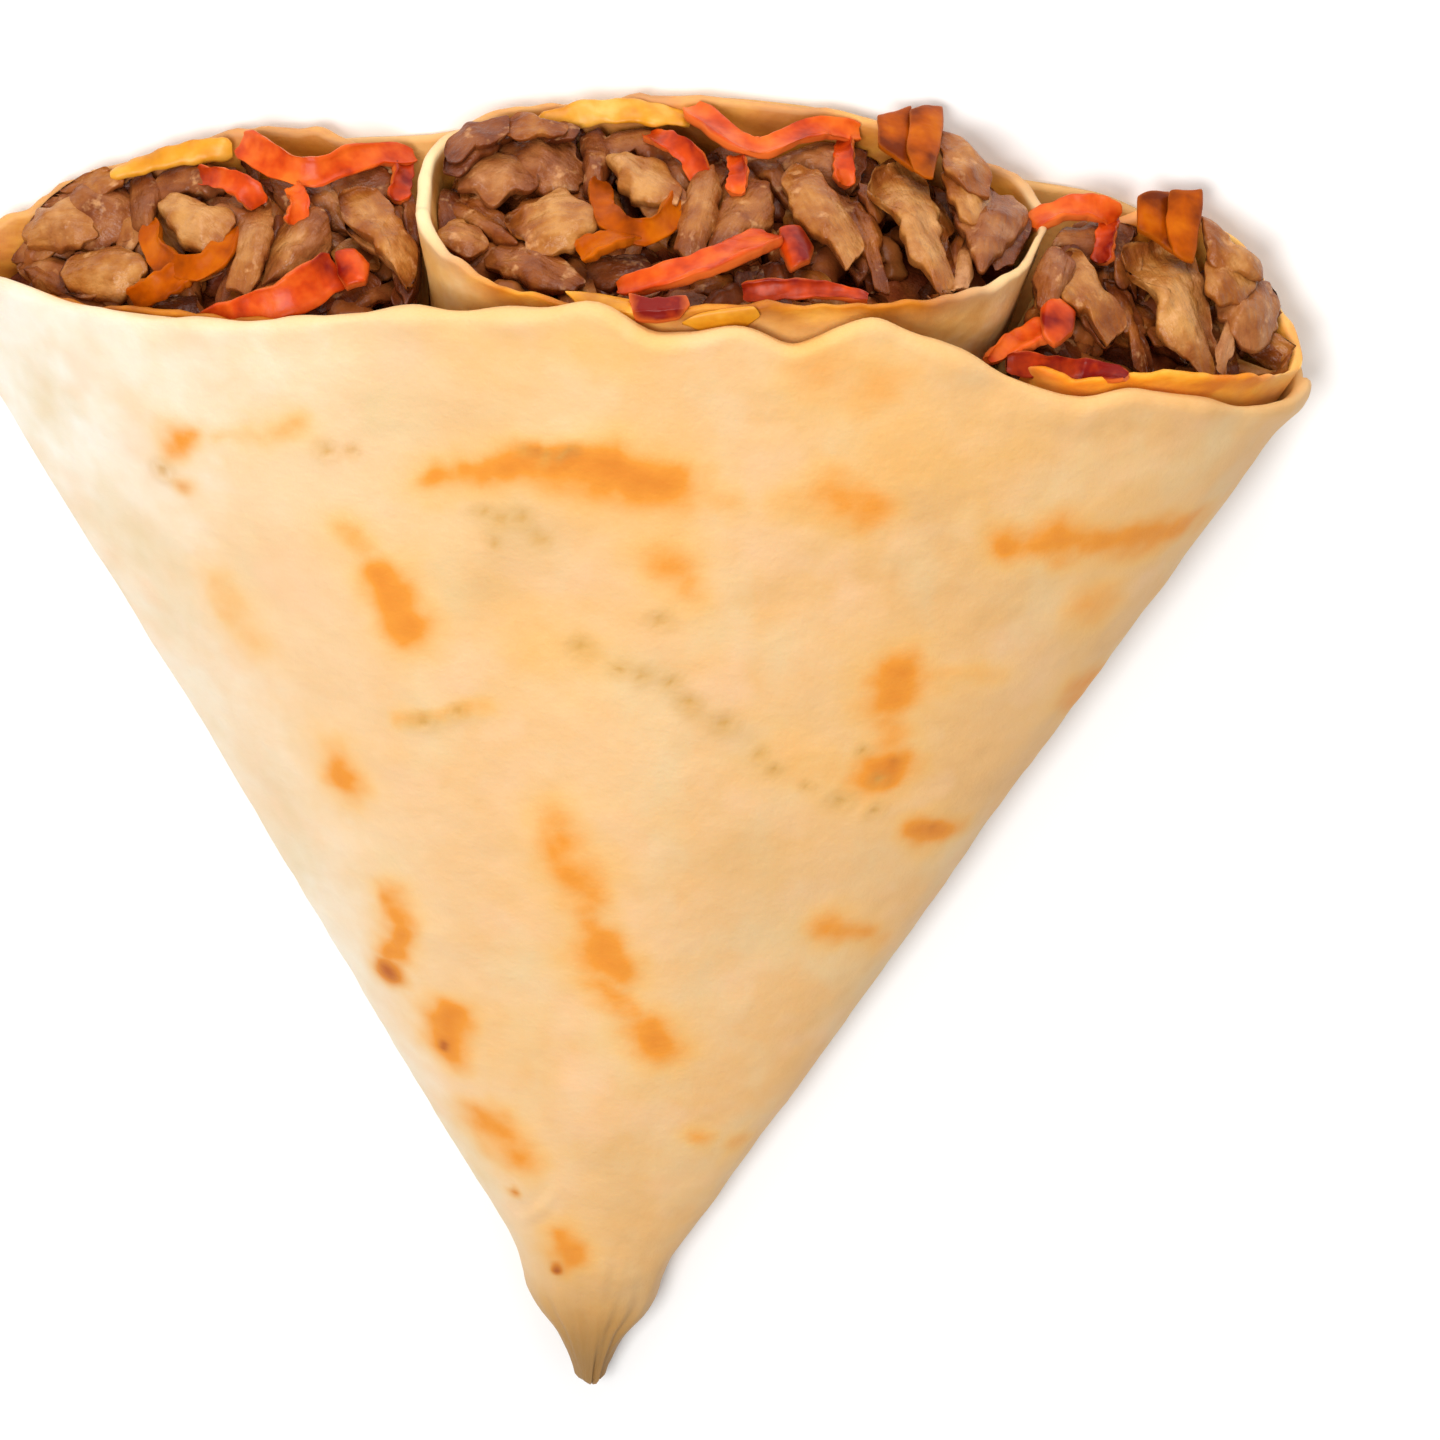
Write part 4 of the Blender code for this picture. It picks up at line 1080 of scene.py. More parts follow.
def strip_tree():
    """The Geometry Nodes tree that sweeps cut strips along guides."""
    tree = bpy.data.node_groups.new("cut_strip", "GeometryNodeTree")
    tree.interface.new_socket("Geometry", in_out="INPUT", socket_type="NodeSocketGeometry")
    for label, value in (("Squareness", 0.75), ("Lump Height", 0.0006), ("Lump Size", 0.004),
                         ("Fibre Height", 0.00015), ("Hollow", 0.0)):
        tree.interface.new_socket(label, in_out="INPUT", socket_type="NodeSocketFloat").default_value = value
    tree.interface.new_socket("Finish", in_out="INPUT", socket_type="NodeSocketMaterial")
    tree.interface.new_socket("Geometry", in_out="OUTPUT", socket_type="NodeSocketGeometry")
    given = tree.nodes.new("NodeGroupInput").outputs

    spine = add_node(tree, "GeometryNodeMeshToCurve", {"Mesh": given["Geometry"]}).outputs[0]
    spine = add_node(tree, "GeometryNodeResampleCurve", {"Curve": spine, "Count": STRIP_RINGS}).outputs[0]
    along = add_node(tree, "GeometryNodeSplineParameter").outputs["Factor"]
    position = add_node(tree, "GeometryNodeInputPosition").outputs[0]
    tangent = add_node(tree, "GeometryNodeInputTangent").outputs[0]
    spine = store(tree, spine, "along", along)
    spine = store(tree, spine, "spine", position, "FLOAT_VECTOR")
    spine = store(tree, spine, "tangent", tangent, "FLOAT_VECTOR")

    profile = add_node(tree, "GeometryNodeCurvePrimitiveCircle", {"Resolution": STRIP_SIDES, "Radius": 1.0})
    parts = add_node(tree, "ShaderNodeSeparateXYZ", {0: position})
    ring = store(tree, profile.outputs[0], "around", along)
    ring = store(tree, ring, "ring_x", parts.outputs[0])
    ring = store(tree, ring, "ring_y", parts.outputs[1])
    wanted = {"Curve": spine, "Profile Curve": ring, "Fill Caps": True}
    swept = add_node(tree, "GeometryNodeCurveToMesh", wanted).outputs[0]

    way = named(tree, "tangent", "FLOAT_VECTOR")
    side = vector_maths(tree, "CROSS_PRODUCT", way, named(tree, "facing", "FLOAT_VECTOR"))
    side = vector_maths(tree, "NORMALIZE", side)
    front = vector_maths(tree, "NORMALIZE", vector_maths(tree, "CROSS_PRODUCT", side, way))
    ends = maths(tree, "ABSOLUTE", centred(tree, named(tree, "along"), 2.0))
    taper = maths(tree, "SUBTRACT", 1.0, maths(tree, "POWER", ends, END_POWER))
    taper = maths(tree, "MAXIMUM", maths(tree, "POWER", taper, 0.5), END_SIZE)
    squared = []
    spans = []
    for label, measure in (("ring_x", "width"), ("ring_y", "depth")):
        value = named(tree, label)
        size = maths(tree, "POWER", maths(tree, "ABSOLUTE", value), given["Squareness"])
        squared.append(maths(tree, "MULTIPLY", maths(tree, "SIGN", value), size))
        span = maths(tree, "MULTIPLY", maths(tree, "MULTIPLY", squared[-1], named(tree, measure)), 0.5)
        spans.append(maths(tree, "MULTIPLY", span, taper))
    bow = maths(tree, "MULTIPLY", maths(tree, "MULTIPLY", squared[0], squared[0]), given["Hollow"])
    deep = maths(tree, "SUBTRACT", spans[1], bow)
    place = vector_maths(tree, "ADD", named(tree, "spine", "FLOAT_VECTOR"),
                         vector_maths(tree, "SCALE", side, scale=spans[0]))
    place = vector_maths(tree, "ADD", place, vector_maths(tree, "SCALE", front, scale=deep))
    swept = store(tree, swept, "skin", squared[1])
    shaped = add_node(tree, "GeometryNodeSetPosition", {"Geometry": swept, "Position": place}).outputs[0]

    lump_scale = maths(tree, "DIVIDE", 1.0, given["Lump Size"])
    wanted = {"Vector": position, "W": named(tree, "seed"), "Scale": lump_scale, "Detail": 2.0}
    lumps = add_node(tree, "ShaderNodeTexNoise", wanted, noise_dimensions="4D").outputs["Fac"]
    lumps = centred(tree, lumps, given["Lump Height"])
    turn = maths(tree, "MULTIPLY", named(tree, "around"), 2.0 * math.pi)
    grain_place = add_node(tree, "ShaderNodeCombineXYZ", {
        0: maths(tree, "MULTIPLY", maths(tree, "COSINE", turn), 5.0),
        1: maths(tree, "MULTIPLY", maths(tree, "SINE", turn), 5.0),
        2: maths(tree, "MULTIPLY", named(tree, "along"), 4.0)}).outputs[0]
    wanted = {"Vector": grain_place, "W": named(tree, "seed"), "Scale": 1.0, "Detail": 3.0}
    fibres = add_node(tree, "ShaderNodeTexNoise", wanted, noise_dimensions="4D").outputs["Fac"]
    fibres = centred(tree, fibres, given["Fibre Height"])
    normal = add_node(tree, "GeometryNodeInputNormal").outputs[0]
    push = vector_maths(tree, "SCALE", normal, scale=maths(tree, "ADD", lumps, fibres))
    rough = add_node(tree, "GeometryNodeSetPosition", {"Geometry": shaped, "Offset": push}).outputs[0]
    smooth = add_node(tree, "GeometryNodeSetShadeSmooth", {"Geometry": rough}).outputs[0]
    real = add_node(tree, "GeometryNodeRealizeInstances", {"Geometry": smooth}).outputs[0]
    dressed = add_node(tree, "GeometryNodeSetMaterial", {"Geometry": real, "Material": given["Finish"]})
    tree.links.new(dressed.outputs[0], tree.nodes.new("NodeGroupOutput").inputs[0])
    return tree


STRIP_TREE = strip_tree()
print("the strip tree has", len(STRIP_TREE.nodes), "nodes")

# %% Guides and the sweep
GUIDE_POINTS = 13
BROAD_WAY = np.array([0.0, -0.73, 0.68])


def spline_point(points, t):
    """A point on a smooth curve through all points, for t from 0 to 1."""
    place = t * (len(points) - 1)
    i = min(int(place), len(points) - 2)
    f = place - i
    here = points[i]
    there = points[i + 1]
    before = points[i - 1] if i > 0 else here * 2.0 - there
    after = points[i + 2] if i + 2 < len(points) else there * 2.0 - here
    linear = there - before
    square = 2.0 * before - 5.0 * here + 4.0 * there - after
    cubic = 3.0 * here - before - 3.0 * there + after
    return here + 0.5 * (linear * f + square * f**2 + cubic * f**3)


def twisted_facings(spine, seed):
    """Where a strip's broad side looks along its path: out of the mouth and up, twisting."""
    way = np.gradient(spine, axis=0)
    side = np.cross(way, BROAD_WAY)
    side /= np.maximum(np.linalg.norm(side, axis=1), 1e-9)[:, None]
    twist = 0.55 * np.sin(1.3 * seed + np.linspace(0.0, 2.8, len(spine)))[:, None]
    return BROAD_WAY * np.cos(twist) + side * np.sin(twist)


def vector_layer(mesh, label, vectors):
    """Store a vector on every point of a mesh."""
    layer = mesh.attributes.new(label, "FLOAT_VECTOR", "POINT")
    layer.data.foreach_set("vector", np.asarray(vectors).astype(np.float32).ravel())


def sweep_strips(name, strips, finish, settings):
    """Sweep strips given as (fan path, start and end width, depth, tone, seed) into one plain mesh object."""
    points = []
    edges = []
    values = {"width": [], "depth": [], "tone": [], "seed": []}
    facings = []
    for path, width, depth, tone, seed in strips:
        path = [np.asarray(point, dtype=float) for point in path]
        spine = to_frame([spline_point(path, k / (GUIDE_POINTS - 1.0)) for k in range(GUIDE_POINTS)])
        widths = np.interp(np.linspace(0.0, 1.0, GUIDE_POINTS), [0.0, 1.0], width)
        start = len(points)
        for k in range(GUIDE_POINTS):
            points.append(spine[k])
            if k:
                edges.append((start + k - 1, start + k))
            swell = 1.0 + 0.1 * math.sin(2.2 * k + seed)
            values["width"].append(widths[k] * swell * MM)
            values["depth"].append(depth * MM)
            values["tone"].append(tone)
            values["seed"].append(float(seed) * 1.7)
        facings.extend(twisted_facings(spine, seed))
    mesh = bpy.data.meshes.new(name + "_guides")
    mesh.from_pydata(np.array(points).tolist(), edges, [])
    for label, numbers in values.items():
        layer = mesh.attributes.new(label, "FLOAT", "POINT")
        layer.data.foreach_set("value", np.array(numbers, dtype=np.float32))
    vector_layer(mesh, "facing", facings)
    piece = bpy.data.objects.new(name, mesh)
    bpy.context.scene.collection.objects.link(piece)
    modifier = piece.modifiers.new("sweep", "NODES")
    modifier.node_group = STRIP_TREE
    sockets = {item.name: item.identifier for item in STRIP_TREE.interface.items_tree
               if item.in_out == "INPUT"}
    for label, value in settings.items():
        modifier[sockets[label]] = value
    modifier[sockets["Finish"]] = finish
    graph = bpy.context.evaluated_depsgraph_get()
    made = bpy.data.meshes.new_from_object(piece.evaluated_get(graph))
    piece.modifiers.remove(modifier)
    piece.data = made
    made.name = name
    for label in ("spine", "tangent", "facing", "width", "depth", "seed", "ring_x", "ring_y"):
        if label in made.attributes:
            made.attributes.remove(made.attributes[label])
    return piece


# %% [markdown]
# ## Where the pieces lie
#
# The pieces of filling are placed as they are seen. A position is given in millimetres right and down on a
# sheet held before the camera, its corner at the middle pocket's upper left. The line of sight through it
# meets the slanted face of the filling, and that is where the piece lies. The other two pockets use the
# same sheet, slid sideways and leaned a little, because their fillings are laid alike. A draped piece also
# lies on the outside of its roll where it hangs over the lip. A last rule keeps pieces out of the thin
# walls of the rolls.

# %% Seen positions
SHEET_DISTANCE = 882.0
SHEET_CORNER = (-47.0, 94.0)
SHEET_SLIDE = {"left": (-65.4, -4.9), "middle": (0.0, 0.0), "right": (38.2, -10.9)}
SHEET_LEAN = {"left": -0.11, "middle": 0.0, "right": 0.03}
LEAN_CENTRE = 43.4
DRAPE_LIFT = 0.7
SIGHT_STEPS = 36
SIGHT_HEIGHTS = (-40.0, 110.0)
ACROSS_LIMIT = 0.97
SIGHT = np.array(view_line)
SIGHT_RIGHT = np.array(view_right)
SIGHT_UP = np.array(view_up)
TOWARDS_CAMERA = -SIGHT
FACE_OUTWARD = np.array([0.0, 0.955, 0.296])
LOOSE_WAY = (TOWARDS_CAMERA + FACE_OUTWARD) / np.linalg.norm(TOWARDS_CAMERA + FACE_OUTWARD)


def face_hit(pocket, x, y, out, drape=False):
    """Fan points where lines of sight meet a filling's face, moved outward, or the roll's outside."""
    x = np.asarray(x, dtype=float)
    y = np.asarray(y, dtype=float)
    y = y + SHEET_LEAN[pocket] * (x - LEAN_CENTRE)
    slide = SHEET_SLIDE[pocket]
    right = (SHEET_CORNER[0] + slide[0] + x)[..., None] * SIGHT_RIGHT
    up = (SHEET_CORNER[1] + slide[1] - y)[..., None] * SIGHT_UP
    ray = SIGHT + (right + up) / SHEET_DISTANCE
    low_z, high_z = (np.full(x.shape, height) for height in SIGHT_HEIGHTS)
    for _ in range(SIGHT_STEPS):
        z = (low_z + high_z) / 2.0
        point = CAMERA_PLACE + ray * ((z - CAMERA_PLACE[2]) / ray[..., 2])[..., None]
        angle = np.degrees(np.arctan2(point[..., 0], point[..., 1]))
        reach = np.hypot(point[..., 0], point[..., 1])
        across = np.clip(angle / HALF_DEGREES, -ACROSS_LIMIT, ACROSS_LIMIT)
        low, high = layer_heights(across, reach, FILLING_WALL)
        beyond = reach > face_reach(pocket, angle, (z - low) / np.maximum(high - low, 4.0)) + out
        if drape:
            beyond = beyond | (z > high + LINING_THICKNESS + LINING_GAP + DRAPE_LIFT)
        high_z = np.where(beyond, z, high_z)
        low_z = np.where(beyond, low_z, z)
    return point


def hold_inside(pocket, points, clear=0.3):
    """Push points that lie inside a roll off its wall; points beyond its lip stay."""
    reach = np.hypot(points[..., 0], points[..., 1])
    angle = np.degrees(np.arctan2(points[..., 0], points[..., 1]))
    across = np.clip(angle / HALF_DEGREES, -ACROSS_LIMIT, ACROSS_LIMIT)
    low, high = layer_heights(across, reach, CREPE_THICKNESS + LAYER_GAP)
    inset = LINING_THICKNESS + clear
    middle = (low + high) / 2.0
    half = np.maximum((high - low) / 2.0 - inset, 1.0)
    rise = (points[..., 2] - middle) / half
    edges = []
    for edge, lean, sign in zip(POCKETS[pocket]["edges"], POCKETS[pocket]["leans"], (1.0, -1.0)):
        gap = side_gap(edge)
        if TUCK_SIDE[pocket] * sign != -1.0:
            gap = gap + inset
        edges.append(edge + lean * np.clip(rise, -1.0, 1.0) + sign * np.degrees(gap / reach))
    centre = (edges[0] + edges[1]) / 2.0
    spread = (edges[1] - edges[0]) / 2.0
    side = (angle - centre) / spread
    power = np.where(rise > 0.0, FRONT_ROUNDNESS, BACK_ROUNDNESS)
    size = (np.abs(side) ** power + np.abs(rise) ** power) ** (1.0 / power)
    scale = np.where(size > 1.0, 1.0 / np.maximum(size, 1.0), 1.0)
    lip = face_reach(pocket, angle, 0.5 + 0.5 * np.clip(rise, -1.0, 1.0)) + FACE_RECESS
    inside = np.clip((lip + 1.5 - reach) / 2.0, 0.0, 1.0)
    scale = 1.0 + (scale - 1.0) * inside
    turn = np.radians(centre + side * scale * spread)
    return np.stack([reach * np.sin(turn), reach * np.cos(turn), middle + rise * scale * half], axis=-1)


# %% [markdown]
# ## Cut pieces
#
# A cut piece of meat is a blunt slab. Its outline is drawn as it is seen, then smoothed and roughened; rings
# run from it to the middle of its face and to the middle of its back. The face is a flat top with several
# sloping knife cuts, softly joined, that curls a little and gets lumps, folds and long fibres. Each piece has
# its own tone, darker towards its edge and its back.

# %% Slabs from outlines
SLAB_SIDES = 88
UNDER_SIDES = 64
SCRAP_SIDES = 36
FACE_STEPS = [1.0, 0.99, 0.97, 0.94, 0.9, 0.85, 0.78, 0.7, 0.6, 0.5, 0.39, 0.27, 0.14]
SCRAP_STEPS = [1.0, 0.98, 0.94, 0.86, 0.74, 0.58, 0.38, 0.2]
EDGE_ROUNDNESS = 4.2
BACK_SHARE = 0.8
CORNER_PULL = 0.13
CORNER_STEPS = 12
KNIFE_CUTS = 6
CUT_SOFTNESS = 0.45


def smooth_outline(corners, count):
    """Evenly spaced points on a closed outline through corners, each corner a little rounded."""
    corners = np.asarray(corners, dtype=float)
    dense = []
    total = len(corners)
    for k in range(total):
        before, here, there, after = (corners[(k + step) % total] for step in (-1, 0, 1, 2))
        for f in np.linspace(0.0, 1.0, CORNER_STEPS, endpoint=False):
            leave = CORNER_PULL * (there - before)
            arrive = CORNER_PULL * (after - here)
            dense.append(here * (2 * f**3 - 3 * f**2 + 1) + leave * (f**3 - 2 * f**2 + f)
                         + there * (3 * f**2 - 2 * f**3) + arrive * (f**3 - f**2))
    dense = np.array(dense + [dense[0]])
    length = np.concatenate([[0.0], np.cumsum(np.linalg.norm(np.diff(dense, axis=0), axis=1))])
    at = np.linspace(0.0, length[-1], count, endpoint=False)
    return np.stack([np.interp(at, length, dense[:, 0]), np.interp(at, length, dense[:, 1])], axis=1)


def knife_cuts(spots, outline, thick, rough, rng):
    """Height of a cut face: the lowest of a flat top and several sloping cuts, softly joined."""
    tilt = np.array([rng.uniform(-0.1, 0.1), rng.uniform(-0.1, 0.1)])
    planes = [thick + spots @ tilt]
    for k in range(KNIFE_CUTS):
        turn = 2.0 * math.pi * (k + rng.random()) / KNIFE_CUTS
        way = np.array([math.cos(turn), math.sin(turn)])
        start = rng.uniform(0.1, 0.7) * (outline @ way).max()
        planes.append(thick - rough * rng.uniform(0.25, 0.75) * (spots @ way - start))
    return -CUT_SOFTNESS * np.log(sum(np.exp(-plane / CUT_SOFTNESS) for plane in planes))


def slab(pocket, corners, out, thick, seed, rough=1.0, sides=SLAB_SIDES, steps=None, drape=False):
    """A blunt slab over a seen outline: fan points, faces and its numbers."""
    steps = steps or FACE_STEPS
    rng = random.Random(seed)
    outline = smooth_outline(corners, sides)
    middle = outline.mean(axis=0)
    flat = np.concatenate([outline, np.zeros((sides, 1))], axis=1)
    jagged = 0.2 + 1.1 * lattice_noise(flat, 3.4, seed) + 0.5 * lattice_noise(flat, 1.4, seed + 1)
    away = (outline - middle) / np.linalg.norm(outline - middle, axis=1)[:, None]
    spread = outline + away * (jagged * rough)[:, None] - middle
    _, ways = np.linalg.eigh(spread.T @ spread)
    sheets = []
    heights = []
    for shares, side in ((steps[:0:-1], -BACK_SHARE), (steps, 1.0)):
        for share in shares:
            swell = (1.0 - share**EDGE_ROUNDNESS) ** (1.0 / EDGE_ROUNDNESS)
            top = thick * side
            if side > 0.0:
                top = knife_cuts(spread * share, spread, thick, rough, random.Random(seed))
            sheets.append(middle + spread * share)
            heights.append(swell * top * np.ones(sides))
    crown = knife_cuts(np.zeros((1, 2)), spread, thick, rough, random.Random(seed))
    sheet = np.concatenate(sheets + [[middle], [middle]])
    height = np.concatenate(heights + [[-BACK_SHARE * thick], crown])
    along = (sheet - middle) @ ways[:, 1]
    cross = (sheet - middle) @ ways[:, 0]
    flat = np.stack([sheet[:, 0], sheet[:, 1], height * 0.8], axis=1)
    lumps = 1.0 * lattice_noise(flat, 4.6, seed + 2) + 0.5 * lattice_noise(flat, 2.0, seed + 3)
    folds = -1.1 * np.abs(lattice_noise(flat, 3.2, seed + 4))
    grain = np.stack([along / 6.0, cross / 1.3, height / 5.0], axis=1)
    fibres = 0.4 * lattice_noise(grain, 1.0, seed + 5)
    curl = rng.uniform(-1.6, 0.9) * (cross / np.abs(cross).max()) ** 2
    lift = height + curl + (lumps + folds + fibres) * rough * np.clip(np.abs(height) / thick, 0.0, 1.0)
    lean = rng.uniform(-0.12, 0.12) * (sheet[:, 0] - middle[0])
    lean = lean + rng.uniform(-0.1, 0.1) * (sheet[:, 1] - middle[1])
    points = face_hit(pocket, sheet[:, 0], sheet[:, 1], out + lean * rough, drape)
    points = points + LOOSE_WAY * lift[:, None]
    rings = [points[k * sides:(k + 1) * sides] for k in range(len(sheets))]
    _, faces = lofted(rings, points[-2], points[-1])
    # Painted shade: the tone is darker towards each slab's edge and its back, on top of noise that varies it
    # at random.
    shade = 0.24 * lattice_noise(flat, 4.0, seed + 6)
    shade = shade + 0.26 * (1.0 - np.clip(height / thick, -1.0, 1.0)) - 0.1
    grain_place = np.stack([along / 4.0, cross, height * 0.3], axis=1) + seed * 3.7
    return points, faces, shade, grain_place, np.clip(height / height.max(), -1.0, 1.0)


def slab_piece(name, pocket, slabs, finish, drape=False, **fineness):
    """One mesh from slabs given as (corners, out, thickness, tone, mauve, seed, rough)."""
    points = []
    faces = []
    numbers = {"tone": [], "mauve": [], "skin": []}
    grains = []
    start = 0
    for corners, out, thick, tone, mauve, seed, rough in slabs:
        made = slab(pocket, corners, out, thick, seed, rough, drape=drape, **fineness)
        placed, sides, shade, grain, skin = made
        placed = to_frame(placed if drape else hold_inside(pocket, placed))
        sides = facing_out(placed, sides)
        points.append(placed)
        faces += [[start + index for index in face] for face in sides]
        numbers["tone"].append(tone + shade)
        numbers["mauve"].append(np.full(len(placed), mauve))
        numbers["skin"].append(skin)
        grains.append(grain)
        start += len(placed)
    numbers = {label: np.concatenate(values) for label, values in numbers.items()}
    piece = make_piece(name, np.concatenate(points), faces, finish, numbers)
    vector_layer(piece.data, "grain", np.concatenate(grains))
    return piece


# %% [markdown]
# ## Roast meat
#
# The pieces are cut from roast meat: light tan where the knife passed, ochre and brown on the roasted side,
# some of them mauve, with a blush that changes over each piece and pale flecks, partly fat and partly painted
# glints. Their grain is noise read on each slab's own coordinates, long along the piece. Juice makes them
# shine a little. Below each piece a flatter slice peeps out, as in a heap of cut meat, painted darker than
# the piece as painted shade.

# %% Meat material
meat_finish = new_material("roast_meat")
tree = meat_finish.node_tree
grain_from = add_node(tree, "ShaderNodeAttribute", attribute_name="grain").outputs["Vector"]
wanted = {"Vector": grain_from, "Scale": 1.0, "Detail": 4.0}
grain = add_node(tree, "ShaderNodeTexNoise", wanted).outputs["Fac"]
patch = centred(tree, noise(tree, 300.0, 3.0), 1.1)
shade = maths(tree, "ADD", read_attribute(tree, "tone"), patch)
shade = maths(tree, "ADD", shade, centred(tree, grain, 0.4), clamp=True)
ochre_tone = tones(tree, shade, (0.0, 192, 136, 74), (0.25, 168, 106, 45), (0.5, 146, 80, 27),
                   (0.75, 120, 58, 17), (1.0, 94, 40, 12))
mauve_tone = tones(tree, shade, (0.0, 182, 125, 78), (0.25, 156, 96, 51), (0.5, 134, 74, 36),
                   (0.75, 112, 55, 24), (1.0, 88, 38, 16))
blush = centred(tree, noise(tree, 210.0, 2.0), 1.6)
blush = maths(tree, "ADD", read_attribute(tree, "mauve"), blush, clamp=True)
meat_tone = blend(tree, blush, ochre_tone, mauve_tone)
# Pale flecks: partly fat and partly painted glints.
fat_and_glint_flecks = mask(tree, noise(tree, 430.0, 3.0), (0.6, 0.0), (0.72, 0.55))
meat_tone = blend(tree, fat_and_glint_flecks, meat_tone, light(216, 160, 106))
meat_bump = maths(tree, "ADD", grain, noise(tree, 600.0, 4.0))
finish_material(meat_finish, meat_tone, 0.3, meat_bump, 0.38, gloss=0.24)
print("the meat's finish has", len(tree.nodes), "nodes")

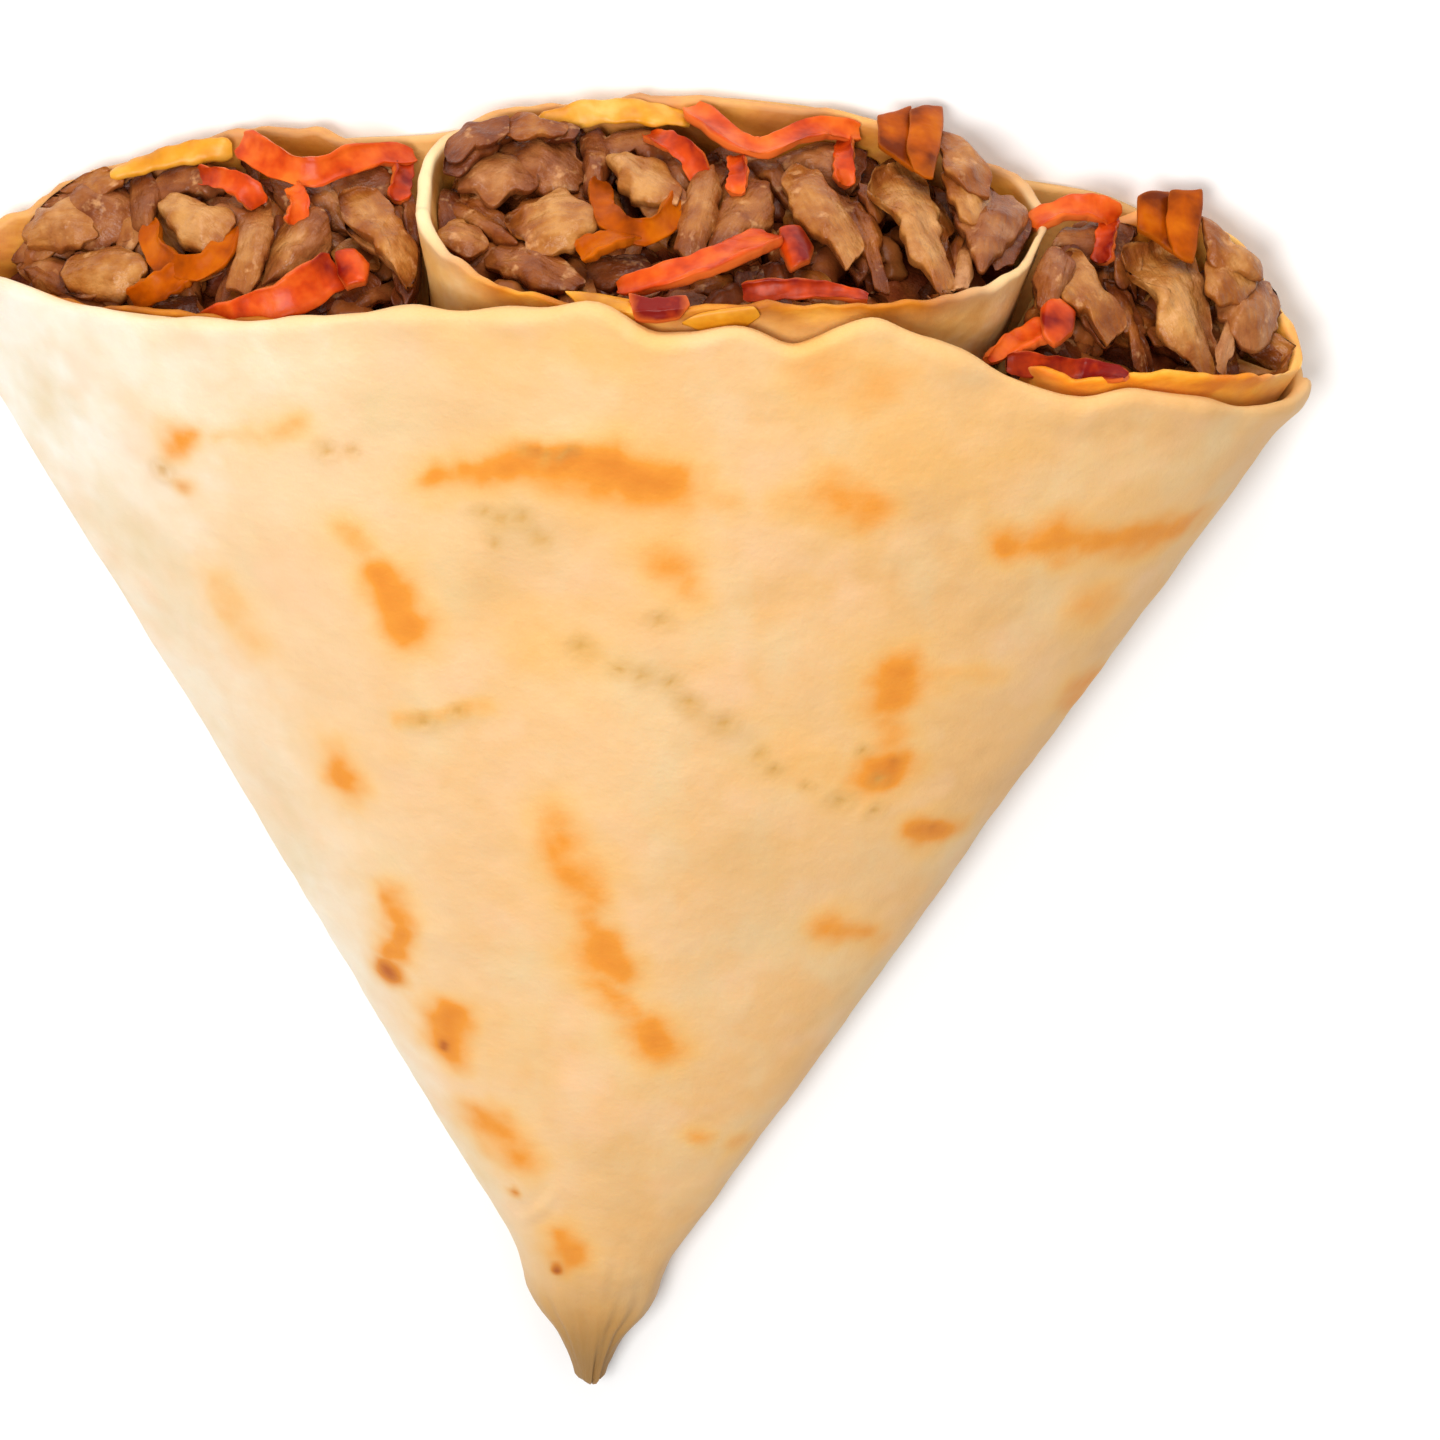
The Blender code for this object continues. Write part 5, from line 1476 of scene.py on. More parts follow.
# %% Meat pieces, outlines in seen millimetres
MEAT_PIECES = [
    # pockets, out, thickness, tone, mauve, outline
    ("LM", 0.5, 2.7, 0.52, 0.8, [(12.4, 10.2), (16.1, 7.7), (21.7, 7.1), (25.1, 8.4), (26.6, 12.4),
         (26.7, 16.4), (24.1, 17.6), (20.4, 16.2), (17.3, 14.5)]),
    ("M", 1.8, 2.2, 0.42, 0.8, [(8.4, 16.0), (8.7, 12.7), (11.8, 10.8), (16.7, 10.5), (20.1, 12.4),
         (20.7, 15.2), (18.6, 16.6), (13.6, 16.9)]),
    ("L", 1.8, 2.2, 0.3, 0.4, [(9.6, 16.0), (10.0, 12.7), (12.4, 10.8), (16.7, 10.5), (20.1, 12.4),
         (20.7, 15.2), (18.6, 16.6), (14.0, 16.9)]),
    ("LM", 0.5, 1.9, 0.58, 0.9, [(26.3, 8.0), (29.1, 7.1), (30.9, 9.3), (30.3, 13.6), (29.1, 17.9),
         (27.2, 15.5)]),
    ("LM", 0.0, 2.1, 0.55, 0.8, [(29.1, 9.3), (32.2, 7.4), (37.1, 7.1), (41.5, 8.7), (40.2, 11.4),
         (37.1, 12.2), (34.7, 10.9), (30.9, 12.0)]),
    ("LM", 2.4, 2.2, 0.18, 0.1, [(30.3, 11.8), (32.8, 10.5), (35.6, 11.1), (39.6, 13.3), (41.2, 15.5),
         (40.2, 17.9), (36.5, 18.7), (33.7, 17.6), (31.6, 15.2)]),
    ("LM", 2.2, 2.2, 0.28, 0.1, [(16.4, 20.4), (18.6, 17.9), (22.9, 16.8), (26.6, 17.9), (29.1, 20.1),
         (28.9, 21.9), (24.8, 24.1), (20.4, 24.1), (17.3, 22.6)]),
    ("M", 1.0, 1.9, 0.28, 0.2, [(5.3, 22.9), (6.8, 20.7), (9.3, 20.3), (11.8, 21.7), (12.4, 24.1),
         (9.3, 25.1), (5.9, 24.4)]),
    ("M", 0.5, 1.8, 0.5, 0.4, [(7.8, 17.4), (11.2, 18.4), (15.2, 20.8), (16.8, 23.6), (14.2, 23.9),
         (10.6, 21.2), (7.2, 19.4)]),
    ("R", 3.0, 2.0, 0.42, 0.9, [(54.8, 17.6), (56.4, 14.0), (58.6, 13.2), (60.2, 16.0), (58.8, 21.0),
         (56.6, 23.6), (54.8, 22.0)]),
    ("L", 0.2, 1.6, 0.56, 0.2, [(9.6, 18.6), (12.4, 19.0), (15.4, 21.0), (16.8, 23.6), (14.0, 23.6),
         (11.0, 21.4)]),
    ("L", 1.5, 1.9, 0.6, 0.9, [(64.6, 11.4), (67.4, 10.8), (68.6, 13.0), (68.8, 19.0), (68.0, 22.4),
         (66.2, 20.6), (65.4, 15.0)]),
    ("L", 0.4, 1.8, 0.78, 0.4, [(65.6, 22.4), (68.0, 21.8), (69.2, 25.0), (69.0, 29.4), (66.4, 29.8),
         (64.6, 26.4)]),
    ("LM", 0.0, 2.0, 0.72, 0.5, [(12.4, 24.8), (16.1, 23.5), (21.0, 24.8), (26.0, 27.8), (27.2, 29.7),
         (24.8, 30.6), (19.8, 29.7), (15.5, 28.8), (12.4, 27.2)]),
    ("LM", 1.8, 2.2, 0.34, 0.5, [(40.5, 24.8), (41.2, 18.6), (42.7, 13.6), (46.1, 12.1), (47.3, 14.9),
         (46.4, 19.8), (44.9, 24.8), (42.7, 26.3)]),
    ("LM", 1.0, 2.4, 0.42, 0.6, [(45.8, 24.6), (46.6, 19.8), (48.0, 16.7), (51.4, 13.9), (54.8, 14.9),
         (55.4, 18.6), (53.8, 21.7), (49.5, 24.4)]),
    ("LMR", 0.0, 2.2, 0.52, 1.0, [(54.5, 12.4), (56.9, 10.8), (61.9, 10.2), (65.6, 9.3), (68.7, 10.2),
         (68.1, 14.2), (65.0, 15.8), (62.5, 14.9), (58.8, 13.9)]),
    ("LMR", 2.8, 2.4, 0.24, 0.15, [(56.6, 14.5), (58.8, 13.1), (61.3, 13.3), (63.1, 16.1), (65.0, 19.2),
         (67.5, 22.3), (67.1, 26.6), (65.6, 27.5), (63.7, 24.8), (61.3, 22.3), (58.5, 19.6), (56.9, 17.3)]),
    ("MR", 3.8, 2.6, 0.12, 0.1, [(69.0, 13.3), (71.2, 11.8), (74.3, 12.4), (77.4, 14.9), (78.9, 18.6),
         (79.8, 24.8), (81.1, 27.8), (82.3, 32.2), (80.4, 32.5), (78.0, 29.1), (74.6, 26.4), (73.2, 21.0),
         (71.2, 17.9), (69.0, 16.4)]),
    ("MR", 3.4, 1.0, 0.14, 0.9, [(81.1, 30.9), (81.7, 26.6), (83.2, 22.9), (84.2, 23.5), (83.8, 27.2),
         (82.9, 32.2)]),
    ("MR", 4.0, 2.6, 0.42, 0.8, [(82.6, 17.6), (85.4, 15.4), (90.4, 16.6), (91.8, 19.6), (91.0, 23.0),
         (88.6, 25.8), (86.0, 27.2), (83.6, 24.8), (82.2, 21.0)]),
    ("MR", 5.2, 1.8, 0.26, 0.1, [(80.2, 14.0), (82.8, 12.8), (86.2, 14.0), (87.0, 17.2), (85.0, 19.8),
         (82.4, 19.6), (80.8, 17.2)]),
    ("M", 6.5, 2.0, 0.36, 0.4, [(79.4, 7.6), (80.8, 8.2), (82.8, 10.2), (84.8, 12.0), (86.4, 14.0),
         (86.0, 16.4), (83.4, 16.0), (80.4, 13.4)]),
    ("R", 6.5, 2.0, 0.3, 0.4, [(79.4, 7.6), (80.8, 8.2), (83.6, 10.2), (85.8, 12.2), (88.4, 14.4),
         (88.0, 16.4), (84.4, 16.4), (80.4, 13.4)]),
    ("MR", 1.0, 1.8, 0.6, 0.1, [(65.2, 17.6), (67.6, 18.2), (69.4, 21.4), (71.0, 26.2), (71.6, 30.2),
         (69.6, 29.4), (68.2, 24.2), (66.2, 20.4)]),
    ("MR", 1.0, 1.6, 0.66, 0.4, [(67.0, 14.4), (69.2, 15.2), (71.0, 19.4), (70.2, 21.2), (68.2, 18.4)]),
    ("MR", -2.0, 2.0, 0.9, 0.6, [(78.4, 25.2), (82.0, 26.0), (85.0, 27.0), (84.4, 28.6), (81.0, 29.6),
         (78.6, 28.0)]),
    ("M", 4.6, 1.4, 0.55, 1.0, [(7.0, 11.6), (7.6, 8.8), (10.6, 6.6), (15.4, 5.4), (16.4, 7.4), (12.4, 9.8),
         (9.0, 12.0)]),
    ("L", 1.0, 1.4, 0.5, 0.9, [(11.4, 11.6), (12.6, 10.0), (15.4, 8.8), (18.6, 8.0), (19.2, 9.6),
         (16.0, 11.0), (13.0, 12.4)]),
    ("M", 4.4, 1.3, 0.4, 0.2, [(14.6, 7.4), (17.0, 5.6), (20.6, 5.4), (24.4, 6.6), (24.0, 8.2),
         (19.6, 8.6)]),
    ("L", 2.0, 1.3, 0.36, 0.2, [(15.4, 8.4), (18.0, 6.8), (21.0, 6.4), (24.4, 7.0), (24.0, 8.6),
         (19.6, 9.4)]),
    ("LM", -0.5, 1.9, 0.5, 0.9, [(36.6, 11.6), (40.8, 11.2), (42.8, 13.2), (42.0, 16.6), (39.8, 15.6),
         (38.2, 13.2)]),
    ("LMR", -1.0, 2.1, 0.5, 0.7, [(50.4, 12.2), (54.6, 11.6), (57.8, 14.4), (57.6, 18.6), (54.6, 17.0)]),
    ("M", -0.8, 1.9, 0.56, 0.5, [(4.8, 16.6), (8.6, 17.0), (9.4, 20.0), (6.2, 21.4), (4.4, 19.4)]),
    ("MR", -1.0, 1.9, 0.7, 0.3, [(76.6, 16.0), (79.4, 17.2), (81.6, 21.4), (82.6, 25.6), (80.4, 24.8),
         (78.4, 20.4)]),
    ("LM", -1.5, 2.1, 0.78, 0.6, [(26.8, 25.2), (31.0, 26.0), (35.6, 25.4), (36.4, 28.6), (31.0, 30.0),
         (27.2, 29.2)]),
    ("LMR", -1.5, 2.0, 0.8, 0.4, [(54.4, 22.4), (57.6, 21.4), (61.0, 25.6), (61.6, 29.4), (57.0, 30.2),
         (53.6, 27.6)]),
]


UNDER_DEPTH = 1.5
UNDER_THICKNESS = 1.5
UNDER_LIMIT = 6.0


def seen_pieces(pocket, table, first_seed):
    """The rows of a table that belong to a pocket, nudged a little outside the middle one."""
    letter = pocket[0].upper()
    slabs = []
    for k, (where, out, thick, tone, mauve, corners) in enumerate(table):
        if letter not in where:
            continue
        rng = random.Random(first_seed + k)
        nudge = 0.0 if pocket == "middle" else 0.5
        shift = np.array([rng.uniform(-nudge, nudge), rng.uniform(-nudge, nudge)])
        slabs.append((np.array(corners) + shift, out, thick, tone, mauve, first_seed + k, 1.0))
    return slabs


def under_slices(slabs):
    """A slice that peeps out below each piece, on a seeded side, painted darker as painted shade."""
    slices = []
    for corners, out, thick, tone, mauve, seed, _ in slabs:
        if out > UNDER_LIMIT:
            continue
        rng = random.Random(seed + 50)
        middle = corners.mean(axis=0)
        turn = rng.uniform(0.0, 2.0 * math.pi)
        slide = rng.uniform(0.9, 2.2) * np.array([math.cos(turn), math.sin(turn)])
        under = middle + (corners - middle) * rng.uniform(0.8, 1.02) + slide
        # Painted shade: the slice below gets a darker tone than its piece.
        tone = min(tone + rng.uniform(0.12, 0.34), 0.95)
        slices.append((under, out - UNDER_DEPTH, UNDER_THICKNESS, tone, rng.random(), seed + 60, 1.2))
    return slices


for number, pocket in enumerate(POCKETS):
    slabs = seen_pieces(pocket, MEAT_PIECES, 200 + 100 * number)
    meat = slab_piece(pocket + "_meat_pieces", pocket, slabs, meat_finish)
    dress(meat, "meat")
    print(meat.name, "has", len(slabs), "pieces and", len(meat.data.polygons), "faces")
    under = slab_piece(pocket + "_meat_slices", pocket, under_slices(slabs), meat_finish, sides=UNDER_SIDES,
                       steps=SCRAP_STEPS)
    dress(under, "meat")

# %% [markdown]
# ## Scraps behind the pieces
#
# Smaller scraps of the same meat fill the gaps. They are placed by a seeded grid over the face, each with
# its own six corners, and a little deeper than the drawn pieces; those nearer the front lip are painted
# darker as painted shade. None lie where the mouth shows a dark gap, or at the left end of the left pocket,
# where the roll's stained wall shows.

# %% Scraps
SCRAP_DEPTH = -1.9
SCRAPS_PER_DEGREE = 2.7
SCRAP_CORNERS = 6
EVEN_STEP = 0.618
FIRST_SCRAP = {"left": 13.5, "middle": 0.0, "right": 0.0}
DARK_GAPS = [(16.5, 18.2, 5.0, 1.4), (14.5, 28.0, 4.0, 1.8), (37.5, 26.0, 4.2, 2.4), (65.0, 29.0, 3.2, 2.4),
             (73.5, 30.0, 4.6, 2.6), (87.5, 30.0, 3.4, 2.8), (83.5, 19.5, 1.6, 2.0), (29.5, 22.5, 2.0, 2.2)]


def seen_place(pocket, point):
    """Where a fan point is seen on the sheet, in millimetres right and down of its corner."""
    from_camera = np.asarray(point) - CAMERA_PLACE
    depth = from_camera @ SIGHT
    slide = SHEET_SLIDE[pocket]
    x = from_camera @ SIGHT_RIGHT / depth * SHEET_DISTANCE - SHEET_CORNER[0] - slide[0]
    y = SHEET_CORNER[1] + slide[1] - from_camera @ SIGHT_UP / depth * SHEET_DISTANCE
    return np.array([x, y - SHEET_LEAN[pocket] * (x - LEAN_CENTRE)])


def in_gap(spot):
    """Whether a seen place lies in one of the gaps that stay dark and deep."""
    return any(((spot[0] - x) / wide) ** 2 + ((spot[1] - y) / tall) ** 2 < 1.0
               for x, y, wide, tall in DARK_GAPS)


def scraps(pocket, seed, count):
    """Slab rows for a pocket's scraps."""
    rng = random.Random(seed)
    span = pocket_span(pocket)
    rows = []
    for k in range(count):
        across_mm = 3.0 + (span - 6.0) * ((k + rng.random()) / count)
        up = 0.04 + 0.88 * ((k * EVEN_STEP) % 1.0)
        middle = seen_place(pocket, face_point(pocket, across_mm, up, SCRAP_DEPTH))
        if in_gap(middle) or middle[0] < FIRST_SCRAP[pocket]:
            continue
        long_half = rng.uniform(3.0, 6.2)
        short_half = rng.uniform(1.3, 2.4)
        lean = rng.uniform(0.0, math.pi)
        corners = []
        for step in range(SCRAP_CORNERS):
            turn = 2.0 * math.pi * (step + rng.uniform(-0.3, 0.3)) / SCRAP_CORNERS
            x = long_half * math.cos(turn)
            y = short_half * math.sin(turn)
            turned = (x * math.cos(lean) - y * math.sin(lean), x * math.sin(lean) + y * math.cos(lean))
            corners.append(middle + turned)
        # Painted shade: scraps further up the face, towards the front lip, get a darker tone.
        tone = rng.uniform(0.25, 0.6) + 0.14 * up
        out = SCRAP_DEPTH + rng.uniform(-0.8, 1.6)
        rows.append((corners, out, rng.uniform(1.0, 1.7), tone, rng.random(), seed + k, 0.9))
    return rows


for number, pocket in enumerate(POCKETS):
    left, right = POCKETS[pocket]["edges"]
    rows = scraps(pocket, 3000 + 200 * number, round((right - left) * SCRAPS_PER_DEGREE))
    scrap_mesh = slab_piece(pocket + "_meat_scraps", pocket, rows, meat_finish, sides=SCRAP_SIDES,
                            steps=SCRAP_STEPS)
    dress(scrap_mesh, "meat")
    print(scrap_mesh.name, "has", len(rows), "scraps")

# %% [markdown]
# ## Shreds between the pieces
#
# Between the larger pieces lie short dark shreds, pushed deep into the gaps. They are all alike, so the
# strip tree sweeps them along seeded guides that are spread evenly over the face.

# %% Shred material
shred_finish = new_material("meat_shreds")
tree = shred_finish.node_tree
shred_patch = centred(tree, noise(tree, 260.0, 4.0), 0.9)
shred_shade = maths(tree, "ADD", read_attribute(tree, "tone"), shred_patch, clamp=True)
shred_tone = tones(tree, shred_shade, (0.0, 176, 110, 54), (0.4, 150, 84, 36), (0.75, 122, 60, 24),
                   (1.0, 94, 38, 16))
finish_material(shred_finish, shred_tone, 0.36, noise(tree, 600.0, 4.0), 0.25, gloss=0.18)
print("the shreds' finish has", len(tree.nodes), "nodes")

# %% Sweep the shreds
SHRED_SETTINGS = {"Squareness": 0.8, "Lump Height": 0.0016, "Lump Size": 0.004, "Fibre Height": 0.0006,
                  "Hollow": 0.0}
SHRED_SPACING = 2.6
SHRED_OUT = -2.2
SHRED_END_OUT = -4.5
FACE_RISE = 38.0


def shreds(pocket, seed, count):
    """Short strips spread over the face by a seeded grid, as strip rows."""
    rng = random.Random(seed)
    span = pocket_span(pocket)
    strips = []
    for k in range(count):
        across_mm = 5.5 + (span - 11.0) * ((k + rng.random()) / count)
        up = 0.08 + 0.84 * ((k * EVEN_STEP) % 1.0)
        middle = seen_place(pocket, face_point(pocket, across_mm, up, SHRED_OUT))
        if in_gap(middle) or middle[0] < FIRST_SCRAP[pocket]:
            continue
        lean = rng.uniform(0.0, math.pi)
        reach = rng.uniform(2.5, 5.5)
        slide = reach * math.cos(lean)
        climb = reach * math.sin(lean) / FACE_RISE
        path = [face_point(pocket, across_mm - slide, up - climb, SHRED_END_OUT),
                face_point(pocket, across_mm, up, SHRED_OUT),
                face_point(pocket, across_mm + slide, up + climb, SHRED_END_OUT)]
        path = [hold_inside(pocket, point, 2.2) for point in path]
        widths = (rng.uniform(2.6, 5.6), rng.uniform(2.6, 5.6))
        strips.append((path, widths, rng.uniform(2.2, 3.8), rng.uniform(0.3, 0.9), seed + k))
    return strips


for number, pocket in enumerate(POCKETS):
    strips = shreds(pocket, 500 + 100 * number, round(pocket_span(pocket) / SHRED_SPACING))
    shred_mesh = sweep_strips(pocket + "_meat_shreds", strips, shred_finish, SHRED_SETTINGS)
    dress(shred_mesh, "meat")
    print(shred_mesh.name, "has", len(strips), "shreds")

# %% [markdown]
# ## Pepper and cheese
#
# Cooked pepper is a soft flat strip: an even skin on one broad side, glossier on the red pepper than on the
# orange, paler flesh on the other side and at the cut edges, slightly hollow across. Cheese has melted
# along the back wall in soft yellow ribbons. All of these are swept by the strip tree. Short blunt bits of
# pepper, and the cheese under the front lip, are slabs instead, and the ones at the front lip are draped
# over it. The strips that cross other pieces are moved along the line of sight until they lie on what is
# there. Two small bits of pepper have no solid of their own, so they replace none.

# %% Pepper and cheese materials
def pepper_material(name, gloss, skin_dark, skin, skin_light, flesh):
    """Glossy skin with soft streaks, and paler flesh at the edges and behind."""
    finish = new_material(name)
    tree = finish.node_tree
    streaks = noise(tree, 190.0, 3.0)
    tone = maths(tree, "SUBTRACT", read_attribute(tree, "tone"), 0.5)
    ripe = maths(tree, "SUBTRACT", streaks, tone, clamp=True)
    skin_tone = ramp(tree, ripe, [(0.25, skin_dark), (0.5, skin), (0.75, skin_light)])
    share = maths(tree, "ADD", read_attribute(tree, "skin"), centred(tree, noise(tree, 300.0), 0.6))
    colour = blend(tree, mask(tree, share, (0.2, 0.0), (0.75, 1.0)), flesh, skin_tone)
    bump = maths(tree, "ADD", streaks, maths(tree, "MULTIPLY", noise(tree, 500.0, 3.0), 0.5))
    return finish_material(finish, colour, 0.32, bump, 0.16, soft=0.06, soft_mm=0.8, gloss=gloss)


red_finish = pepper_material("red_pepper_skin", 0.16, light(120, 16, 6), light(196, 64, 8),
                             light(226, 106, 30), light(212, 100, 38))
orange_finish = pepper_material("orange_pepper_skin", 0.05, light(104, 38, 4), light(166, 72, 0),
                                light(196, 100, 4), light(170, 84, 10))
cheese_finish = new_material("melted_cheese")
tree = cheese_finish.node_tree
cheese_tone = tones(tree, noise(tree, 160.0, 3.0), (0.32, 192, 118, 10), (0.5, 214, 144, 26),
                    (0.68, 226, 172, 76))
finish_material(cheese_finish, cheese_tone, 0.4, noise(tree, 300.0, 3.0), 0.15, soft=0.12, soft_mm=1.0,
                gloss=0.3)
print("the cheese's finish has", len(tree.nodes), "nodes")

# %% Pepper and cheese strips
PEPPER_STRIPS = [
    # name, pockets, start and end width, depth, tone, path in seen millimetres and out
    ("red_pepper_long", "M", (4.6, 3.4), 1.4, 0.42, [(42.8, 4.2, 2), (45.6, 6.6, 3), (49.2, 9.2, 3.5),
         (53.2, 10.4, 3.5), (57.4, 8.8, 3.5), (61.9, 7.2, 3), (67.2, 7.8, 2)]),
    ("red_pepper_long", "L", (4.6, 3.4), 1.4, 0.42, [(42.2, 4.6, 2), (45.4, 6.8, 3), (49.0, 9.0, 3.5),
         (53.0, 10.0, 3.5), (57.2, 9.0, 3.5), (61.9, 8.6, 3), (67.0, 9.6, 2)]),
    ("red_pepper_long", "R", (4.2, 3.4), 1.5, 0.42, [(54.8, 10.6, 2), (57.4, 8.8, 3), (61.2, 7.6, 3),
         (64.8, 7.6, 3), (67.0, 8.6, 2)]),
    ("red_pepper_long", "LMR", (2.6, 3.2), 1.3, 0.58, [(65.8, 8.8, 1), (65.4, 12.1, 2), (64.9, 15.6, 1)]),
    ("red_pepper_curved", "M", (2.4, 6.0), 1.8, 0.5, [(32.2, 30.6, 1), (37.5, 29.6, 3), (43.3, 27.8, 4),
         (48.9, 25.8, 4), (54.6, 23.2, 2)]),
    ("red_pepper_curved", "L", (2.4, 6.4), 1.8, 0.5, [(33.4, 32.0, 1), (38.5, 31.0, 3), (44.3, 29.2, 4),
         (50.0, 26.8, 4), (55.8, 23.8, 2)]),
    ("red_pepper_small", "LM", (2.8, 3.6), 1.4, 0.6, [(36.3, 8.5, 1), (39.6, 9.3, 3), (42.7, 11.1, 3),
         (44.6, 14.2, 1)]),
    ("red_pepper_small", "LM", (2.6, 3.0), 1.3, 0.5, [(49.6, 11.4, 2), (50.2, 13.9, 3), (49.2, 16.8, 2)]),
    ("red_pepper_flat", "M", (3.0, 2.2), 1.0, 0.66, [(50.4, 31.0, 1), (56.6, 30.8, 2), (62.4, 31.2, 2),
         (68.6, 32.4, 2)]),
    ("red_pepper_flat", "R", (3.6, 2.6), 1.0, 0.72, [(50.4, 30.8, 0), (56.0, 31.0, 0), (62.0, 31.6, 1),
         (68.4, 32.6, 2)]),
    ("red_pepper_flat", "R", (1.6, 5.2), 1.6, 0.45, [(48.2, 30.2, 0), (51.0, 28.6, 0), (54.0, 27.2, 0),
         (57.8, 25.0, 1)]),
    ("orange_pepper_curved", "LM", (3.4, 3.8), 1.5, 0.5, [(29.2, 15.0, 1), (29.6, 18.8, 2), (32.2, 21.4, 3),
         (35.9, 22.3, 3), (39.0, 20.6, 2), (40.8, 17.4, 1)]),
    ("orange_pepper_curved", "LM", (4.0, 3.6), 1.6, 0.45, [(34.6, 22.8, 2), (30.5, 24.0, 3),
         (26.4, 25.6, 2)]),
    ("cheese_back", "M", (3.0, 4.6), 1.3, 0.5, [(20.6, 6.4, 3), (26.2, 5.0, 3), (31.2, 4.2, 3),
         (36.6, 4.2, 2), (41.6, 5.0, 1)]),
    ("cheese_back", "L", (2.4, 3.4), 1.3, 0.5, [(22.6, 6.8, 2), (27.2, 5.8, 2), (31.8, 5.0, 2),
         (36.6, 4.8, 2), (41.0, 5.2, 1)]),
]
PEPPER_SLABS = [
    # name, pockets, out, thickness, tone, outline
    ("red_pepper_cut", "LM", 3.0, 1.8, 0.5, [(55.7, 21.7), (58.8, 21.3), (61.0, 23.8), (60.3, 26.6),
         (57.5, 27.2), (56.0, 24.8)]),
    ("red_pepper_cut", "R", 3.0, 1.8, 0.5, [(55.9, 22.2), (58.0, 20.8), (61.0, 22.6), (60.6, 25.6),
         (58.0, 27.4), (56.2, 25.8)]),
    ("orange_pepper_upright", "MR", 6.0, 1.6, 0.64, [(70.2, 9.8), (70.2, 5.4), (75.0, 4.2), (75.2, 8.4),
         (75.6, 13.2), (72.6, 11.2)]),
    ("orange_pepper_upright", "MR", 7.4, 1.4, 0.46, [(74.6, 8.6), (75.0, 4.4), (79.6, 4.0), (79.8, 6.8),
         (78.4, 14.6), (75.4, 13.4)]),
    ("cheese_front", "M", 5.0, 1.0, 0.5, [(24.4, 31.0), (29.0, 31.2), (34.0, 31.4), (34.4, 35.2),
         (31.0, 34.9), (27.4, 33.8)]),
    ("cheese_front", "M", 5.0, 0.9, 0.5, [(41.4, 35.6), (44.0, 34.0), (47.4, 33.0), (51.6, 33.0),
         (52.6, 34.6), (49.6, 36.2), (45.6, 37.0)]),
    ("cheese_front", "L", 5.0, 0.9, 0.5, [(58.4, 33.6), (61.0, 33.0), (63.8, 33.2), (63.4, 35.2),
         (60.4, 35.6)]),
    ("red_pepper_fold", "M", 5.0, 1.3, 0.86, [(33.6, 31.6), (37.0, 32.2), (42.0, 31.8), (42.6, 33.0),
         (40.8, 35.0), (37.6, 35.8), (34.6, 35.4)]),
]
LAID = {"red_pepper_long": "LMR", "red_pepper_flat": "R"}
DRAPED = ("cheese_front", "red_pepper_fold")
WITHOUT_SOLID = ("left_red_pepper_cut", "middle_red_pepper_fold")
BEDDING_ENDS = ("_dough", "_pieces", "_slices", "_scraps")
BEDDING_GAP = 0.5
PEPPER_SETTINGS = {"Squareness": 0.42, "Lump Height": 0.0012, "Lump Size": 0.005, "Fibre Height": 0.0005,
                   "Hollow": -0.0006}
CHEESE_SETTINGS = {"Squareness": 0.9, "Lump Height": 0.0022, "Lump Size": 0.005, "Fibre Height": 0.0,
                   "Hollow": 0.0}
FINISHES = {"red": (red_finish, "red_pepper", PEPPER_SETTINGS),
            "orange": (orange_finish, "orange_pepper", PEPPER_SETTINGS),
            "cheese": (cheese_finish, "cheese", CHEESE_SETTINGS)}


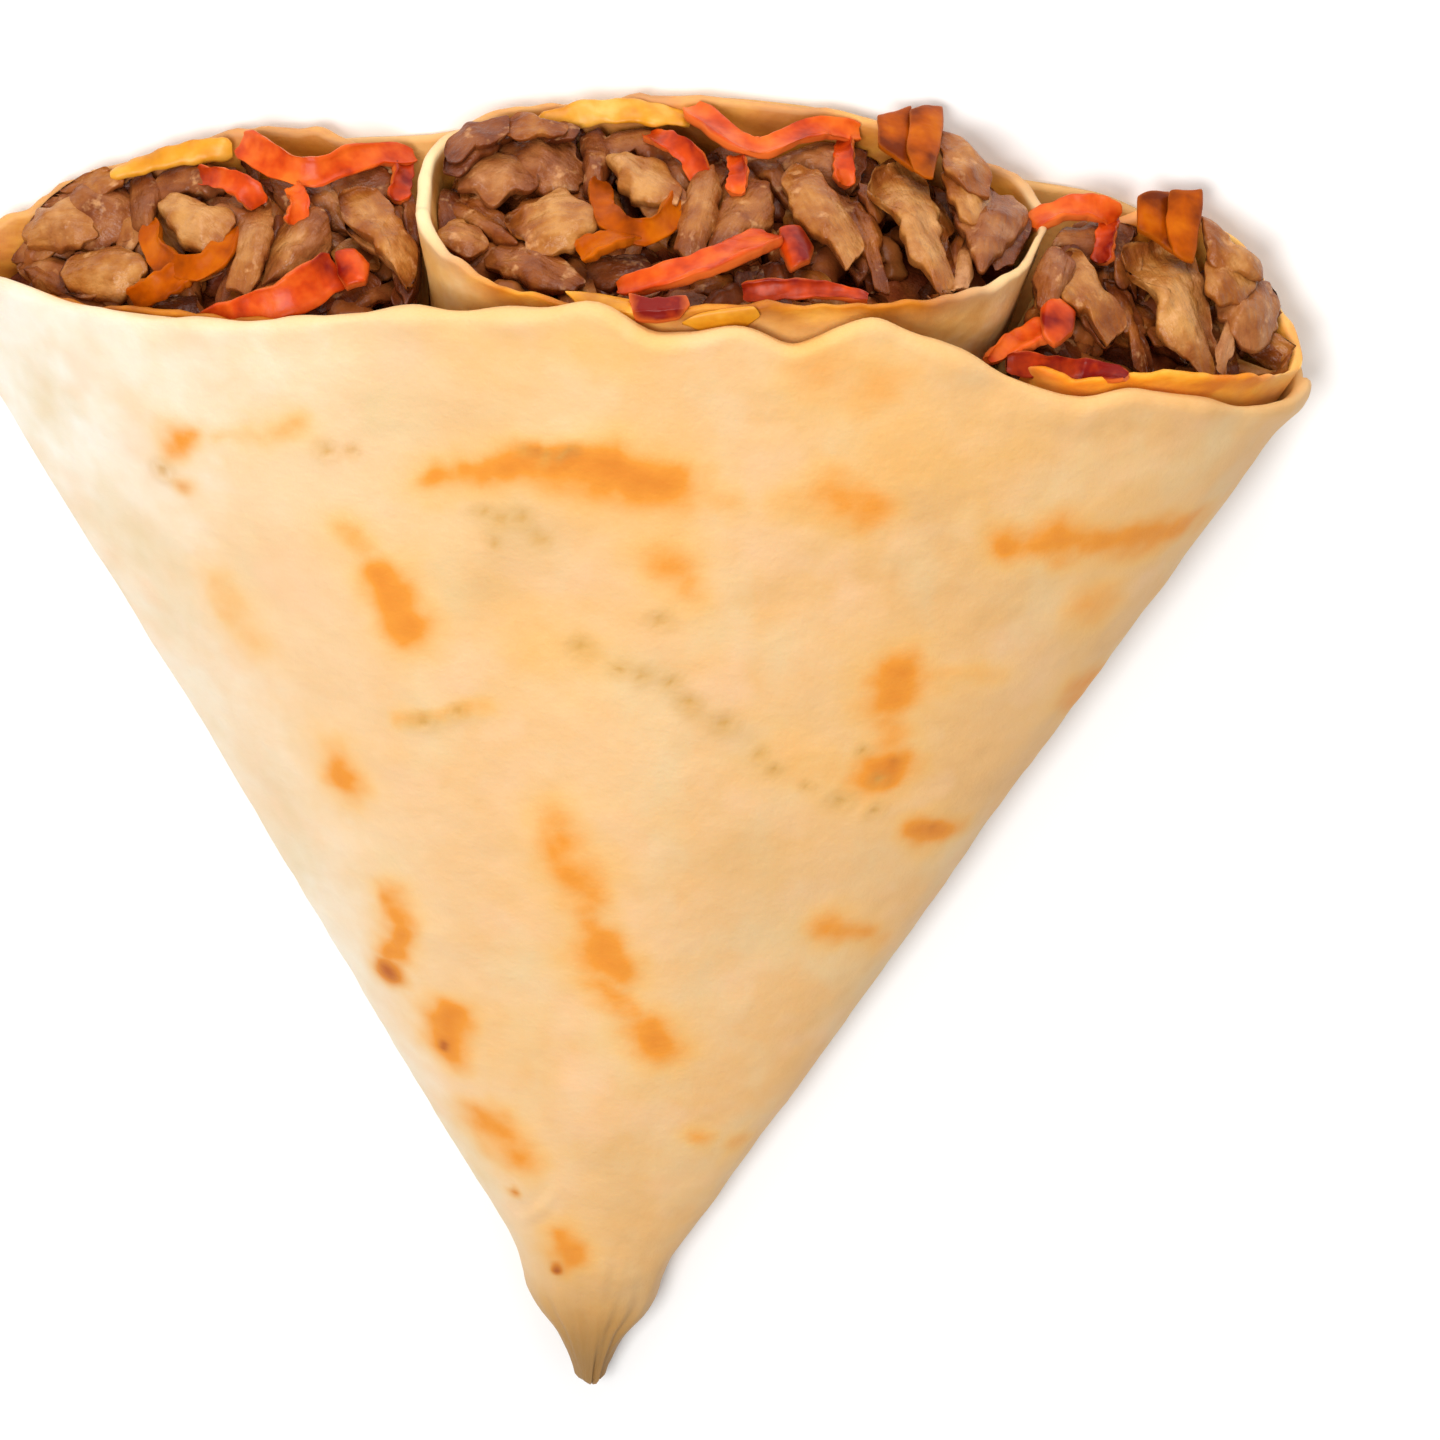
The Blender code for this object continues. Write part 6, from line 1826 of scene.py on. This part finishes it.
def laid_on(point, lift, bedding, graph):
    """A fan point brought towards the camera until it lies on the pieces that are there."""
    start, end = (Vector(spot) for spot in to_frame([CAMERA_PLACE, point]))
    way = end - start
    share = 1.0
    for piece in bedding:
        found, spot, _, _ = piece.ray_cast(start, way.normalized(), distance=way.length, depsgraph=graph)
        if found:
            share = min(share, ((spot - start).length - lift * MM) / way.length)
    return CAMERA_PLACE + (point - CAMERA_PLACE) * share


def solids_of(pocket, name):
    """The solid that a piece of pepper or cheese stands for, as a list; two small bits have none."""
    solid = pocket + "_" + name
    return [] if solid in WITHOUT_SOLID else [solid]


bedding = [piece for piece in bpy.data.objects if piece.name.endswith(BEDDING_ENDS)]
print("the pepper strips are laid on", len(bedding), "pieces")
for number, pocket in enumerate(POCKETS):
    letter = pocket[0].upper()
    graph = bpy.context.evaluated_depsgraph_get()
    rows = {}
    for k, (name, where, width, depth, tone, path) in enumerate(PEPPER_STRIPS):
        if letter not in where:
            continue
        rng = random.Random(1000 + 100 * number + k)
        nudge = 0.0 if pocket == "middle" else 0.4
        shift = (rng.uniform(-nudge, nudge), rng.uniform(-nudge, nudge))
        spots = [face_hit(pocket, x + shift[0], y + shift[1], out) for x, y, out in path]
        if letter in LAID.get(name, ""):
            spots = [laid_on(spot, 0.5 * depth + BEDDING_GAP, bedding, graph) for spot in spots]
        else:
            spots = [hold_inside(pocket, spot, 1.4) for spot in spots]
        rows.setdefault(name, []).append((spots, width, depth, tone, 1000 + 100 * number + k))
    for name, strips in rows.items():
        finish, slot, settings = FINISHES[name.split("_")[0]]
        piece = sweep_strips(pocket + "_" + name + "_strip", strips, finish, settings)
        dress(piece, slot, *solids_of(pocket, name))
    slabs = {}
    for k, (name, where, out, thick, tone, corners) in enumerate(PEPPER_SLABS):
        if letter in where:
            slabs.setdefault(name, []).append((corners, out, thick, tone, 0.0, 1500 + 100 * number + k, 0.3))
    for name, rows in slabs.items():
        finish, slot, _ = FINISHES[name.split("_")[0]]
        piece = slab_piece(pocket + "_" + name + "_piece", pocket, rows, finish, drape=name in DRAPED)
        dress(piece, slot, *solids_of(pocket, name))
print("pepper and cheese are in place")

# %% Sizes and finish
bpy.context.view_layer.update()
triangles = sum(len(face.vertices) - 2 for piece in bpy.data.objects if piece.type == "MESH"
                and not piece.hide_render for face in piece.data.polygons)
print("triangles in all:", triangles)
